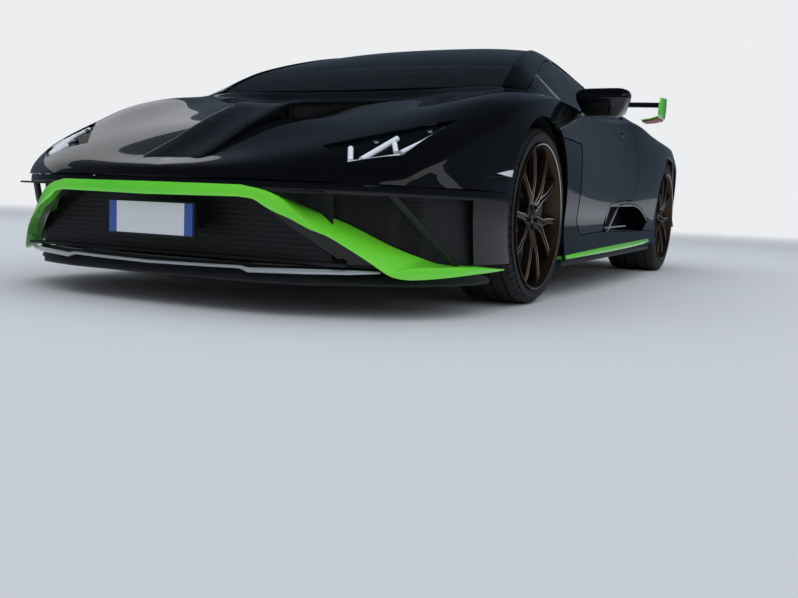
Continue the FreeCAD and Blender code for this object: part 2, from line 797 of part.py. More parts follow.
def rear_suspension():
    """Wishbones, drive shafts and the fixed wheel carriers of the rear axle."""
    carrier = upright(REAR_UPRIGHT_X, REAR_AXLE, REAR_WHEEL_Z, False)
    pieces = [carrier]
    for dz in (-120, 120):
        for spread in (-140, 140):
            start = (REAR_RAIL_X, REAR_AXLE + spread, REAR_WHEEL_Z + dz * 0.8 - 20)
            pieces.append(rod(start, (REAR_UPRIGHT_X, REAR_AXLE, REAR_WHEEL_Z + dz), size("rod_radius")))
    tower = block((REAR_RAIL_X - 40, REAR_AXLE - 180, size("rail_z") + size("rail_height")),
                  (REAR_RAIL_X + 40, REAR_AXLE + 180, 500))
    shaft = rod((REAR_RAIL_X, REAR_AXLE, REAR_WHEEL_Z), (REAR_UPRIGHT_X, REAR_AXLE, REAR_WHEEL_Z), 24)
    shape = fused(pieces + [tower, shaft]).cut(rear_rails)
    return Part.makeCompound(both(shape))


keep("rear_suspension", rear_suspension())


def attached_sketch(body, name, role):
    sketch = body.newObject("Sketcher::SketchObject", name)
    plane = next(item for item in body.Origin.OriginFeatures if item.Role == role)
    sketch.AttachmentSupport = [(plane, "")]
    sketch.MapMode = "FlatFace"
    return sketch


def bound_outline(sketch, corners):
    """A closed outline whose corners follow expressions of the sheet's cells."""
    values = [(float(sheet.evalExpression(x)), float(sheet.evalExpression(y))) for x, y in corners]
    count = len(values)
    for i in range(count):
        start, end = values[i], values[(i + 1) % count]
        sketch.addGeometry(Part.LineSegment(Vector(*start, 0), Vector(*end, 0)))
    for i in range(count):
        sketch.addConstraint(Sketcher.Constraint("Coincident", i, 2, (i + 1) % count, 1))
    for i, corner in enumerate(corners):
        for kind, axis, expression in (("DistanceX", -2, corner[0]), ("DistanceY", -1, corner[1])):
            if expression == "0":
                sketch.addConstraint(Sketcher.Constraint("PointOnObject", i, 1, axis))
                continue
            value = float(sheet.evalExpression(expression))
            number = sketch.addConstraint(Sketcher.Constraint(kind, -1, 1, i, 1, value))
            sketch.setExpression(f"Constraints[{number}]", expression)


def part_body(name, place):
    """A body whose base point follows expressions of the sheet's cells."""
    body = doc.addObject("PartDesign::Body", name)
    body.Label = name
    for axis, expression in zip("xyz", place):
        body.setExpression(f"Placement.Base.{axis}", expression)
    PARTS.append(body)
    return body


def revolved(body, name, corners):
    """One ring turned round the body's X axis."""
    sketch = attached_sketch(body, f"{name}_section", "XY_Plane")
    bound_outline(sketch, corners)
    ring = body.newObject("PartDesign::Revolution", name)
    ring.Profile = sketch
    ring.ReferenceAxis = (sketch, ["H_Axis"])
    ring.Angle = 360
    sketch.Visibility = False
    return ring


AXLE_Y = {
    "front": "Sizes.front_overhang - Sizes.overall_length / 2",
    "rear": "Sizes.front_overhang - Sizes.overall_length / 2 + Sizes.wheelbase",
}


def tyre(end, side, sign):
    wide = f"Sizes.tyre_width_{end}"
    radius = f"Sizes.tyre_radius_{end}"
    body = part_body(f"tyre_{end}_{side}", (f"{sign} * Sizes.wheel_x_{end} - {wide} / 2", AXLE_Y[end], radius))
    corners = [
        (f"{wide} * 0.04", "Sizes.rim_radius"),
        ("0", f"Sizes.rim_radius + ({radius} - Sizes.rim_radius) * 0.35"),
        (f"{wide} * 0.02", f"{radius} - 14"),
        (f"{wide} * 0.10", f"{radius} - 3"),
        (f"{wide} * 0.30", radius),
        (f"{wide} * 0.70", radius),
        (f"{wide} * 0.90", f"{radius} - 3"),
        (f"{wide} * 0.98", f"{radius} - 14"),
        (wide, f"Sizes.rim_radius + ({radius} - Sizes.rim_radius) * 0.35"),
        (f"{wide} * 0.96", "Sizes.rim_radius"),
    ]
    revolved(body, f"carcass_{end}_{side}", corners)


def rim(end, side, sign):
    """Barrel, double spokes, hub and brake disc of one wheel; its outer face looks along sign X."""
    wide = size(f"tyre_width_{end}")
    radius = size(f"tyre_radius_{end}")
    x0 = size(f"wheel_x_{end}") - wide / 2
    y = FRONT_AXLE if end == "front" else REAR_AXLE
    centre_x = KINGPIN_X if end == "front" else REAR_UPRIGHT_X
    lip = size("rim_radius")
    thick = size("rim_thickness")
    ring = [(0.03, lip), (0.97, lip), (0.97, lip - thick), (0.62, lip - thick - 14), (0.4, lip - thick - 14), (0.03, lip - thick)]
    section = wire([(x0 + wide * a, y, radius + r) for a, r in ring])
    barrel = Part.Face(section).revolve(Vector(0, y, radius), Vector(1, 0, 0), 360)
    face = x0 + wide * 0.94
    deep = size("spoke_thickness")
    spoke_pieces = []
    arm = size("spoke_width") / 2
    reach = lip - thick / 2
    for turn in range(int(size("spoke_count"))):
        outline = [(-arm * 1.6, 30), (-arm, 120), (-82, reach - 16), (-54, reach - 8), (0, 150), (54, reach - 8),
                   (82, reach - 16), (arm, 120), (arm * 1.6, 30)]
        spoke = prism([(y + a, radius + b) for a, b in outline], "x", face - deep, face)
        spoke.rotate(Vector(0, y, radius), Vector(1, 0, 0), 360 / size("spoke_count") * turn)
        spoke_pieces.append(spoke)
    hub_in = centre_x + size("upright_thickness") / 2 + 6
    hub = Part.makeCylinder(size("hub_radius"), face - 4 - hub_in, Vector(hub_in, y, radius), Vector(1, 0, 0))
    cap = Part.makeCylinder(size("hub_radius") * 1.3, deep, Vector(face - deep, y, radius), Vector(1, 0, 0))
    disc_x = centre_x + size("upright_thickness") / 2 + 30
    disc = Part.makeCylinder(size("disc_radius"), size("disc_thickness"), Vector(disc_x, y, radius), Vector(1, 0, 0))
    bore = Part.makeCylinder(size("spindle_radius") + size("seat_gap"), 95 + 1 - size("upright_thickness") / 2,
                             Vector(centre_x + size("upright_thickness") / 2, y, radius), Vector(1, 0, 0))
    shape = fused([barrel, hub, cap, disc] + spoke_pieces).cut(bore)
    keep(f"rim_{end}_{side}", shape if sign > 0 else across(shape))


for end in ("front", "rear"):
    for side, sign in (("left", 1), ("right", -1)):
        tyre(end, side, sign)
        rim(end, side, sign)

doc.recompute()


def sound(feature):
    shape = feature.Shape
    failed = {"Invalid", "Error"} & set(feature.State)
    return not failed and not shape.isNull() and shape.isValid() and shape.Volume > 0


for item in doc.Objects:
    if {"Invalid", "Error"} & set(item.State):
        raise RuntimeError(f"{item.Name} failed to build")
faulty = [feature.Label for feature in PARTS if not sound(feature)]
if faulty:
    raise RuntimeError(f"unsound pieces: {faulty}")
os.makedirs("parts", exist_ok=True)
for feature in PARTS:
    shape = feature.Shape
    shape.exportStep(f"parts/{feature.Label}.step")
    print(feature.Label, "solids", len(shape.Solids), "faces", len(shape.Faces), "litres", round(shape.Volume / 1e6, 2))
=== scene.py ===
import json
import math
import bmesh
import bpy
from mathutils import Matrix, Vector


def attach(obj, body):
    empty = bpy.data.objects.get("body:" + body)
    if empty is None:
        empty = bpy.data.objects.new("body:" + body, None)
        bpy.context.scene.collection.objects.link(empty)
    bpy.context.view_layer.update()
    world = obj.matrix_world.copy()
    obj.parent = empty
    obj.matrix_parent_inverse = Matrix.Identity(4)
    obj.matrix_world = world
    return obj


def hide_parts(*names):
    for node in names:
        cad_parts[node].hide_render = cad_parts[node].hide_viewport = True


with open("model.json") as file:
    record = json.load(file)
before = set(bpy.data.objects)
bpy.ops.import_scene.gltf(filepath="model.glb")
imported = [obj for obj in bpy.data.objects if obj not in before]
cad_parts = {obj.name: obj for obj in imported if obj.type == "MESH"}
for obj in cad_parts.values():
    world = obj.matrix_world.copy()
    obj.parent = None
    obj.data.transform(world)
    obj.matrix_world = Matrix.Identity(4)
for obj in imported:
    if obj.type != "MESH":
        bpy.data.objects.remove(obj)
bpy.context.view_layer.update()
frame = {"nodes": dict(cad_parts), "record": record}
print("supercar: frame loaded,", len(frame["nodes"]), "nodes")


def linear(hexColour):  # sRGB hex to the linear colour that the shader wants
    channels = [int(hexColour[i:i + 2], 16) / 255 for i in (1, 3, 5)]
    return [c / 12.92 if c <= .04045 else ((c + .055) / 1.055) ** 2.4 for c in channels] + [1.0]


def addNode(tree, kind, settings=None, links=None):
    node = tree.nodes.new(kind)
    for name, value in (settings or {}).items():
        if isinstance(name, int) or name in node.inputs:
            node.inputs[name].default_value = value
        else:
            setattr(node, name, value)
    for name, source in (links or {}).items():
        tree.links.new(source, node.inputs[name])
    return node


# each finish: slot, colour, second tone, roughness, grain in mm, bump, bump's depth in mm, the rest
finishes = {
    # two coats over black: almost no diffuse, a clear coat that mirrors the room, faint orange peel
    "cellulosePaintBlack": ("paint_black", "#040506", "#07090B", .32, 38, .02, .2,
                            dict(coat=1, coatRoughness=.025, ior=1.12)),
    # pearl green over white: vivid; its yellow second tone, mixed in broad patches, is a painted highlight colour for
    # the yellow edge where it catches light
    "pearlPaintGreen": ("accent_green", "#45D52B", "#86EE36", .3, 60, .03, .2,
                        dict(coat=1, coatRoughness=.05, ior=1.5)),
    # moulded polypropylene, fine spark grain
    "mouldedPolypropyleneBlack": ("black_plastic", "#121315", "#1B1C1F", .55, 1.6, .25, .4, dict(ior=1.49)),
    # piano black acrylic trim
    "polishedAcrylicBlack": ("black_plastic", "#050506", "#090A0C", .08, 40, .01, .2, dict(ior=1.49)),
    # tinted laminated glass
    "tintedGlass": ("glass_dark", "#4A5458", "#424C50", .02, 80, .01, .2, dict(ior=1.45, transmission=.94)),
    # hard coated polycarbonate lamp cover
    "clearPolycarbonate": ("lamp_clear", "#20262B", "#1C2226", .03, 50, .01, .2, dict(ior=1.5, alpha=.16)),
    "redPolycarbonate": ("lamp_red", "#8E0A10", "#B01018", .1, 8, .05, .3, dict(ior=1.58, transmission=.25)),
    # bare cast aluminium, sand texture
    "castAluminium": ("aluminium_raw", "#A9ABAE", "#8F9194", .42, 2.5, .15, .4, dict(metallic=1)),
    # phosphated steel
    "phosphatedSteel": ("steel_dark", "#3B3D40", "#2C2D30", .48, 3, .12, .3, dict(metallic=.9)),
    # forged wheel in dark bronze satin lacquer, darkened further as painted shade of the barrel deep inside the tyre
    "satinBronzeLacquer": ("rim_bronze", "#3E3126", "#4A3B2E", .34, 1.2, .05, .2, dict(metallic=.85)),
    # turned edge of the wheel, bare metal under lacquer; on the spokes' ridges and the lip's edge it is also painted
    # highlight
    "turnedAluminium": ("aluminium_raw", "#C9C2B8", "#B5ADA2", .24, .8, .06, .2, dict(metallic=1)),
    "carbonBlackRubber": ("tyre_rubber", "#19191A", "#232323", .72, 4, .18, .5, dict(ior=1.52)),
    # the badge place, the intake rods, the glass trim and the chin's painted highlight strip share this softly shining
    # nickel plate
    "satinNickel": ("aluminium_raw", "#D6D9DB", "#C8CBCE", .42, 1, .05, .2, dict(metallic=.6)),
    "chromedPlastic": ("aluminium_raw", "#D5D8DA", "#C6CACD", .09, 20, .01, .2, dict(metallic=1)),
    # light guide, opal white
    "opalPolycarbonate": ("lamp_clear", "#E9EEF2", "#DCE3E9", .28, 12, .03, .2, dict(ior=1.58)),
    # number plate sheeting with glass beads, and its coloured end band
    "reflectiveSheetWhite": ("lamp_clear", "#D9DBDC", "#CFD2D4", .45, 1.5, .08, .3,
                             dict(coat=.3, coatRoughness=.2)),
    "reflectiveSheetBlue": ("lamp_clear", "#2B55A6", "#244B97", .45, 1.5, .08, .3,
                            dict(coat=.3, coatRoughness=.2)),
    "satinPaintRed": ("lamp_red", "#B0141C", "#9A1017", .42, 30, .03, .2, dict()),
    # mirror glass, silvered behind
    "silveredGlass": ("lamp_clear", "#C9CED2", "#BFC5CA", .03, 60, .01, .2, dict(metallic=1)),
    # exhaust steel, blued by heat
    "bluedSteel": ("aluminium_raw", "#6E6A72", "#8C7A62", .26, 9, .06, .2, dict(metallic=1)),
    # brake disc, ground in rings; its iron is painted darker, the shade that falls inside the wheel
    "groundCastIron": ("steel_dark", "#4E4D4B", "#434240", .36, 1.4, .18, .3, dict(metallic=1)),
    # suede microfibre on foam
    "microfibreSuede": ("seat_fabric", "#1B1B1D", "#2A2A2D", .9, 2.2, .5, .8, dict(sheen=.4, ior=1.45)),
}
made = {}


def finish(name):
    if name in made:
        return made[name]
    slot, colour, tone, roughness, grainSize, bumpStrength, bumpDepth, look = finishes[name]
    material = bpy.data.materials.new(name)
    material.use_nodes = True
    tree = material.node_tree
    tree.nodes.clear()
    place = addNode(tree, "ShaderNodeTexCoord")
    scale = 1000 / grainSize
    grain = addNode(tree, "ShaderNodeTexNoise", {"Scale": scale, "Detail": 4.0, "Roughness": .6},
                    {"Vector": place.outputs["Object"]})
    broad = addNode(tree, "ShaderNodeTexNoise", {"Scale": 2.5, "Detail": 3.0}, {"Vector": place.outputs["Object"]})
    blend = addNode(tree, "ShaderNodeMix", {"data_type": "RGBA", 6: linear(colour),
                                             7: linear(tone)}, {0: broad.outputs["Fac"]})
    spread = addNode(tree, "ShaderNodeMapRange", {"To Min": roughness * .88,
                                                  "To Max": min(1.0, roughness * 1.14)},
                     {"Value": grain.outputs["Fac"]})
    bump = addNode(tree, "ShaderNodeBump", {"Strength": bumpStrength, "Distance": bumpDepth / 1000},
                   {"Height": grain.outputs["Fac"]})
    shader = addNode(tree, "ShaderNodeBsdfPrincipled",
                     {"Metallic": look.get("metallic", .0), "IOR": look.get("ior", 1.5),
                      "Coat Weight": look.get("coat", .0), "Coat Roughness": look.get("coatRoughness", .03),
                      "Transmission Weight": look.get("transmission", .0), "Alpha": look.get("alpha", 1.0),
                      "Sheen Weight": look.get("sheen", .0)},
                     {"Base Color": blend.outputs[2], "Roughness": spread.outputs["Result"],
                      "Normal": bump.outputs["Normal"]})
    addNode(tree, "ShaderNodeOutputMaterial", {}, {"Surface": shader.outputs["BSDF"]})
    made[name] = material
    return material


slotFinish = {}
for finishName, row in finishes.items():  # a slot's own finish is the first that names it
    slotFinish.setdefault(row[0], finishName)
slotOf = {part["node"]: part["material_slot"] for part in frame["record"]["subparts"]}


def addPiece(bm, name, finishNames, body="chassis", stands=(), sharp=32):
    finishNames = [finishNames] if isinstance(finishNames, str) else finishNames
    bmesh.ops.recalc_face_normals(bm, faces=bm.faces)
    mesh = bpy.data.meshes.new(name)
    bm.to_mesh(mesh)
    bm.free()
    mesh.shade_smooth()
    mesh.set_sharp_from_angle(angle=math.radians(sharp))
    for finishName in finishNames:
        mesh.materials.append(finish(finishName))
    piece = bpy.data.objects.new(name, mesh)
    bpy.context.scene.collection.objects.link(piece)
    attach(piece, body)
    if stands:
        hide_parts(*stands)
    return piece


# body skin: one cage from the table, subdivided, then cut into its panels
# columns: mid spear rib trough crown shoulder waist belly sill hem; each row is y, sweep, then x and z
skin = dict(
    levels=3,
    creases=[0, .6, .8, .25, .1, .6, .35, .2, .2, 0],
    planX=[0, .35, .5, .62, .75, .82, .88, .93, .955, 1.0],
    planY=[0, .012, .045, .10, .20, .285, .40, .56, .66, .8],
    rows=[
        (-2.262, 1.00, (0, .404), (.02, .404), (.15, .404), (.45, .404), (.72, .404), (.785, .404), (.91, .404),
         (.940, .30), (.950, .20), (.955, .15)),
        (-2.250, 1.00, (0, .432), (.02, .432), (.15, .433), (.45, .437), (.72, .442), (.790, .440), (.91, .412),
         (.942, .30), (.950, .20), (.955, .15)),
        (-2.150, .85, (0, .452), (.09, .456), (.165, .460), (.46, .486), (.75, .514), (.835, .494), (.925, .432),
         (.948, .31), (.953, .20), (.955, .15)),
        (-1.980, .62, (0, .522), (.09, .528), (.165, .530), (.47, .542), (.78, .578), (.862, .564), (.942, .455),
         (.952, .33), (.955, .20), (.957, .15)),
        (-1.780, .38, (0, .612), (.09, .618), (.165, .618), (.50, .604), (.79, .640), (.896, .618), (.950, .500),
         (.955, .36), (.955, .22), (.957, .15)),
        (-1.600, .18, (0, .650), (.10, .655), (.185, .655), (.53, .660), (.795, .697), (.920, .665),
         (.957, .550), (.957, .40), (.953, .25), (.957, .15)),
        (-1.420, .05, (0, .690), (.19, .695), (.31, .716), (.57, .708), (.80, .748), (.924, .715), (.965, .610),
         (.957, .43), (.945, .27), (.957, .15)),
        (-1.2135, 0, (0, .735), (.32, .738), (.46, .762), (.615, .760), (.80, .795), (.922, .755), (.968, .650),
         (.955, .44), (.935, .28), (.957, .15)),
        (-1.070, 0, (0, .770), (.36, .772), (.55, .793), (.66, .794), (.80, .807), (.917, .772), (.963, .655),
         (.950, .44), (.930, .28), (.957, .15)),
        (-1.000, 0, (0, .838), (.24, .838), (.57, .842), (.69, .842), (.80, .815), (.912, .780), (.960, .650),
         (.948, .44), (.929, .28), (.957, .15)),
        (-.860, 0, (0, .840), (.33, .840), (.60, .842), (.71, .840), (.81, .822), (.905, .787), (.950, .640),
         (.945, .44), (.928, .28), (.957, .15)),
        (-.660, 0, (0, .835), (.33, .835), (.62, .836), (.73, .834), (.82, .824), (.892, .792), (.937, .620),
         (.945, .44), (.925, .28), (.957, .15)),
        (-.350, 0, (0, .830), (.33, .830), (.62, .832), (.73, .832), (.81, .826), (.876, .793), (.922, .600),
         (.937, .42), (.917, .28), (.955, .16)),
        (.050, 0, (0, .840), (.33, .840), (.62, .840), (.73, .840), (.81, .834), (.868, .800), (.912, .590),
         (.935, .42), (.915, .29), (.955, .16)),
        (.400, 0, (0, .850), (.33, .850), (.62, .850), (.73, .852), (.815, .850), (.872, .815), (.915, .600),
         (.940, .44), (.920, .30), (.958, .165)),
        (.700, 0, (0, .870), (.33, .870), (.62, .872), (.73, .876), (.830, .884), (.897, .855), (.935, .630),
         (.950, .46), (.930, .31), (.962, .175)),
        (1.020, 0, (0, .895), (.33, .897), (.60, .902), (.70, .905), (.842, .868), (.918, .790), (.960, .660),
         (.960, .46), (.940, .31), (.965, .19)),
        (1.4065, 0, (0, .925), (.33, .928), (.58, .930), (.67, .912), (.848, .824), (.934, .782), (.9705, .680),
         (.962, .48), (.945, .33), (.965, .22)),
        (1.750, 0, (0, .930), (.33, .930), (.56, .928), (.64, .910), (.832, .824), (.908, .778), (.948, .670),
         (.945, .48), (.935, .35), (.950, .27)),
        (2.000, -.3, (0, .922), (.30, .920), (.52, .916), (.60, .900), (.785, .838), (.872, .768), (.905, .650),
         (.905, .50), (.895, .38), (.91, .31)),
        (2.170, -.6, (0, .905), (.28, .903), (.48, .900), (.56, .890), (.72, .842), (.820, .765), (.860, .640),
         (.860, .51), (.845, .41), (.86, .34)),
    ],
)


def between(value, xs, ys):
    for k in range(len(xs) - 1):
        if value <= xs[k + 1]:
            return ys[k] + (ys[k + 1] - ys[k]) * (value - xs[k]) / (xs[k + 1] - xs[k])
    return ys[-1]


def skinPoint(row, k):
    x, z = row[2 + k]
    swept = between(x, skin["planX"], skin["planY"]) * row[1]
    return (x, row[0] + (swept if swept > 0 else swept / 2), z)


def evaluated(bm, kind, **settings):  # the mesh that one modifier makes of it
    mesh = bpy.data.meshes.new("part")
    bm.to_mesh(mesh)
    bm.free()
    thing = bpy.data.objects.new("part", mesh)
    bpy.context.scene.collection.objects.link(thing)
    modifier = thing.modifiers.new("part", kind)
    for name, value in settings.items():
        setattr(modifier, name, value)
    result = bpy.data.meshes.new_from_object(thing.evaluated_get(bpy.context.evaluated_depsgraph_get()))
    bpy.data.objects.remove(thing)
    return result


def cage(rows, creases, levels):  # rows of points for the left half; the right half is their mirror
    width = len(rows[0]) - 1
    bm = bmesh.new()
    bmesh.ops.create_grid(bm, x_segments=2 * width, y_segments=len(rows) - 1, size=1)
    crease = bm.edges.layers.float.new("crease_edge")
    rowOf = bm.faces.layers.int.new("row")
    columnOf = bm.faces.layers.int.new("column")
    seat = {}
    for v in bm.verts:
        i = round((v.co.x + 1) * width)
        j = round((v.co.y + 1) / 2 * (len(rows) - 1))
        seat[v] = (i - width, j)
    for face in bm.faces:
        face[rowOf] = min(seat[v][1] for v in face.verts)
        face[columnOf] = min(abs(seat[v][0]) for v in face.verts)
    for edge in bm.edges:
        a, b = (seat[v][0] for v in edge.verts)
        if a == b:
            edge[crease] = creases[abs(a)]
    for v, (i, j) in seat.items():
        x, y, z = rows[j][abs(i)]
        v.co = (x if i > 0 else -x, y, z)
    return evaluated(bm, "SUBSURF", levels=levels, render_levels=levels, boundary_smooth="PRESERVE_CORNERS")


def inside(outline, u, v):  # even-odd test
    odd = False
    for (a, b), (c, d) in zip(outline, outline[1:] + outline[:1]):
        if (b > v) != (d > v) and u < a + (c - a) * (v - b) / (d - b):
            odd = not odd
    return odd


def cutAlong(bm, outline, axis, closed=True, side=0):  # scores the outline, seen along the axis, into the sheet
    first, second = [i for i in (0, 1, 2) if i != axis]
    ends = outline[1:] + outline[:1] if closed else outline[1:]
    for (a, b), (c, d) in zip(outline, ends):
        lowU, highU, lowV, highV = min(a, c), max(a, c), min(b, d), max(b, d)
        near = []
        for face in bm.faces:
            if side and face.calc_center_median()[0] * side < 0:
                continue
            us = [v.co[first] for v in face.verts]
            vs = [v.co[second] for v in face.verts]
            if (max(us) >= lowU - .001 and min(us) <= highU + .001 and max(vs) >= lowV - .001
                    and min(vs) <= highV + .001):
                near.append(face)
        if not near:
            continue
        normal = Vector((0, 0, 0))
        normal[first], normal[second] = d - b, a - c
        point = Vector((0, 0, 0))
        point[first], point[second] = a, b
        geom = near + list({e for f in near for e in f.edges}) + list({v for f in near for v in f.verts})
        bmesh.ops.bisect_plane(bm, geom=geom, dist=.0004, plane_co=point, plane_no=normal.normalized())


def grown(outline, by):  # the outline moved outwards by so much
    area = sum(a[0] * b[1] - b[0] * a[1] for a, b in zip(outline, outline[1:] + outline[:1]))
    turn = 1 if area > 0 else -1
    out = []
    for before, here, after in zip(outline[-1:] + outline[:-1], outline, outline[1:] + outline[:1]):
        one = Vector((here[1] - before[1], before[0] - here[0])).normalized() * turn
        two = Vector((after[1] - here[1], here[0] - after[0])).normalized() * turn
        both = one + two
        reach = by / max(.35, both.length_squared / 2)
        out.append((here[0] + both[0] * reach, here[1] + both[1] * reach))
    return out


def circle(centre, radius, count=40, start=0):
    return [(centre[0] + radius * math.cos(math.tau * k / count + start),
             centre[1] + radius * math.sin(math.tau * k / count + start)) for k in range(count)]


def panel(source, cuts, keep, thickness):  # the sheet scored along the cuts, kept by the test, given its wall
    bm = bmesh.new()
    bm.from_mesh(source)
    for outline, axis, closed, side in cuts:
        cutAlong(bm, outline, axis, closed, side)
    gone = [f for f in bm.faces if not keep(f, f.calc_center_median())]
    bmesh.ops.delete(bm, geom=gone, context="FACES")
    bmesh.ops.remove_doubles(bm, verts=bm.verts, dist=.0006)
    bmesh.ops.recalc_face_normals(bm, faces=bm.faces)
    outer = sum(f.normal.dot(Vector((f.calc_center_median().x, 0, .8))) * f.calc_area() for f in bm.faces)
    if outer < 0:
        bmesh.ops.reverse_faces(bm, faces=bm.faces)
    if thickness:
        bmesh.ops.solidify(bm, geom=bm.faces, thickness=thickness)
        bmesh.ops.recalc_face_normals(bm, faces=bm.faces)
    return bm


def slab(outline, axis, low, high, edge=.0, segments=2):  # an outline pushed from low to high along an axis
    bm = bmesh.new()
    ring = bmesh.ops.create_circle(bm, segments=len(outline), radius=1, cap_ends=True)["verts"]
    for v, (a, b) in zip(ring, outline):
        v.co = {0: (low, a, b), 1: (a, low, b), 2: (a, b, low)}[axis]
    push = bmesh.ops.extrude_face_region(bm, geom=bm.faces[:])
    way = Vector((0, 0, 0))
    way[axis] = high - low
    bmesh.ops.translate(bm, verts=[g for g in push["geom"] if isinstance(g, bmesh.types.BMVert)], vec=way)
    return eased(bm, edge, segments)


def eased(bm, edge, segments=2):  # every sharp edge rounded off by so much
    bmesh.ops.recalc_face_normals(bm, faces=bm.faces)
    if edge:
        sharp = [e for e in bm.edges if len(e.link_faces) == 2 and e.calc_face_angle(0) > .5]
        bmesh.ops.bevel(bm, geom=sharp, offset=edge, segments=segments, profile=.5, affect="EDGES",
                        clamp_overlap=True, material=-1)
    return bm


def ribbon(rings, tones=None):  # a closed skin through rings of as many points; tones gives each side's material
    count = len(rings[0])
    bm = bmesh.new()
    bmesh.ops.create_grid(bm, x_segments=count, y_segments=len(rings) - 1, size=1)
    seat = {v: (round((v.co.x + 1) / 2 * count), round((v.co.y + 1) / 2 * (len(rings) - 1))) for v in bm.verts}
    for face in bm.faces:
        if tones:
            face.material_index = tones[min(seat[v][0] for v in face.verts)]
    for v, (i, j) in seat.items():
        v.co = rings[j][i % count]
    bmesh.ops.remove_doubles(bm, verts=bm.verts, dist=.00002)
    rim = [e for e in bm.edges if len(e.link_faces) == 1]
    bmesh.ops.holes_fill(bm, edges=rim, sides=0)
    bmesh.ops.recalc_face_normals(bm, faces=bm.faces)
    return bm


def toned(bm, before, tone):  # the faces made since then get the material's number
    for face in set(bm.faces) - before:
        face.material_index = tone
    return bm


def lathe(bm, profile, centre, axis=0, steps=96, tone=0):  # a closed outline of (along, radius) turned round an axis
    before = set(bm.faces)
    ring = bmesh.ops.create_circle(bm, segments=len(profile), radius=1)["verts"]
    for v, (along, radius) in zip(ring, profile):
        v.co = Vector(centre) + (Vector((along, 0, radius)) if axis == 0 else Vector((radius, along, 0)))
    edges = list({e for v in ring for e in v.link_edges})
    bmesh.ops.spin(bm, geom=ring + edges, cent=centre, axis=(1, 0, 0) if axis == 0 else (0, 1, 0), angle=math.tau,
                   steps=steps, use_merge=True)
    return toned(bm, before, tone)


def addBar(bm, start, end, radius, sides=8, tone=0, tip=None):  # a straight rod
    way = Vector(end) - Vector(start)
    turn = way.to_track_quat("Z", "Y").to_matrix().to_4x4()
    place = Matrix.Translation((Vector(start) + Vector(end)) / 2) @ turn
    before = set(bm.faces)
    bmesh.ops.create_cone(bm, cap_ends=True, segments=sides, radius1=radius, radius2=tip or radius, depth=way.length,
                          matrix=place)
    return toned(bm, before, tone)


def addBlock(bm, low, high, tone=0):  # a straight box
    centre = (Vector(low) + Vector(high)) / 2
    span = Vector(high) - Vector(low)
    before = set(bm.faces)
    bmesh.ops.create_cube(bm, size=1, matrix=Matrix.Translation(centre) @ Matrix.Diagonal((*span, 1)))
    return toned(bm, before, tone)


def softer(bm, levels):  # the same mesh after a smooth subdivision
    out = bmesh.new()
    out.from_mesh(evaluated(bm, "SUBSURF", levels=levels, render_levels=levels))
    return out


def joined(bm, part):  # the part added to the mesh
    mesh = bpy.data.meshes.new("part")
    part.to_mesh(mesh)
    part.free()
    bm.from_mesh(mesh)
    bpy.data.meshes.remove(mesh)


def rounded(cx, cy, a, b, count=28, power=.55):  # a rounded box seen from above
    out = []
    for k in range(count):
        c, s = math.cos(math.tau * k / count), math.sin(math.tau * k / count)
        out.append((cx + a * math.copysign(abs(c) ** power, c), cy + b * math.copysign(abs(s) ** power, s)))
    return out


def flipped(bm):  # the same piece on the car's other side
    bmesh.ops.scale(bm, vec=(-1, 1, 1), verts=bm.verts)
    bmesh.ops.reverse_faces(bm, faces=bm.faces)
    return bm


sides = ((1, "left"), (-1, "right"))


def addPair(bm, name, finishNames, body="chassis", stands=(), sharp=32):
    # a piece for the left and its mirror image for the right; names that end in _ get the side
    pair = [bm, flipped(bm.copy())]
    return [addPiece(shape, name + tag, finishNames, body + tag * body.endswith("_"),
                     [node + tag * node.endswith("_") for node in stands], sharp)
            for shape, (side, tag) in zip(pair, sides)]



skinMesh = cage([[skinPoint(row, k) for k in range(10)] for row in skin["rows"]], skin["creases"], skin["levels"])
print("supercar: skin", len(skinMesh.polygons), "faces")

# columns: mid halfway edge pane foot; the edge is the glass's, the pane line is the top of the side window
cabin = dict(
    levels=3,
    creases=[0, 0, .55, .7, 0],
    rows=[
        (-1.000, (0, .834), (.365, .838), (.704, .836), (.796, .812), (.860, .796)),
        (-.950, (0, .866), (.36, .870), (.697, .868), (.790, .838), (.858, .799)),
        (-.800, (0, .953), (.35, .956), (.672, .948), (.757, .893), (.850, .805)),
        (-.650, (0, 1.013), (.34, 1.014), (.640, 1.000), (.717, .938), (.842, .811)),
        (-.500, (0, 1.065), (.33, 1.065), (.606, 1.046), (.680, .988), (.836, .816)),
        (-.350, (0, 1.110), (.32, 1.108), (.568, 1.086), (.640, 1.032), (.832, .819)),
        (-.200, (0, 1.147), (.31, 1.144), (.532, 1.120), (.600, 1.074), (.828, .822)),
        (-.050, (0, 1.168), (.30, 1.164), (.512, 1.138), (.572, 1.100), (.828, .826)),
        (.100, (0, 1.174), (.30, 1.169), (.510, 1.140), (.562, 1.106), (.828, .830)),
        (.320, (0, 1.170), (.30, 1.164), (.510, 1.128), (.560, 1.094), (.832, .838)),
        (.620, (0, 1.146), (.30, 1.138), (.512, 1.098), (.568, 1.062), (.840, .862)),
        (.960, (0, 1.086), (.29, 1.078), (.520, 1.040), (.640, .975), (.826, .882)),
        (1.4065, (0, 1.002), (.28, .996), (.470, .965), (.560, .940), (.690, .908)),
        (1.830, (0, .938), (.26, .934), (.420, .926), (.490, .922), (.600, .915)),
    ],
)
cabinMesh = cage([[(x, row[0], z) for x, z in row[1:]] for row in cabin["rows"]], cabin["creases"], cabin["levels"])
print("supercar: cabin", len(cabinMesh.polygons), "faces")

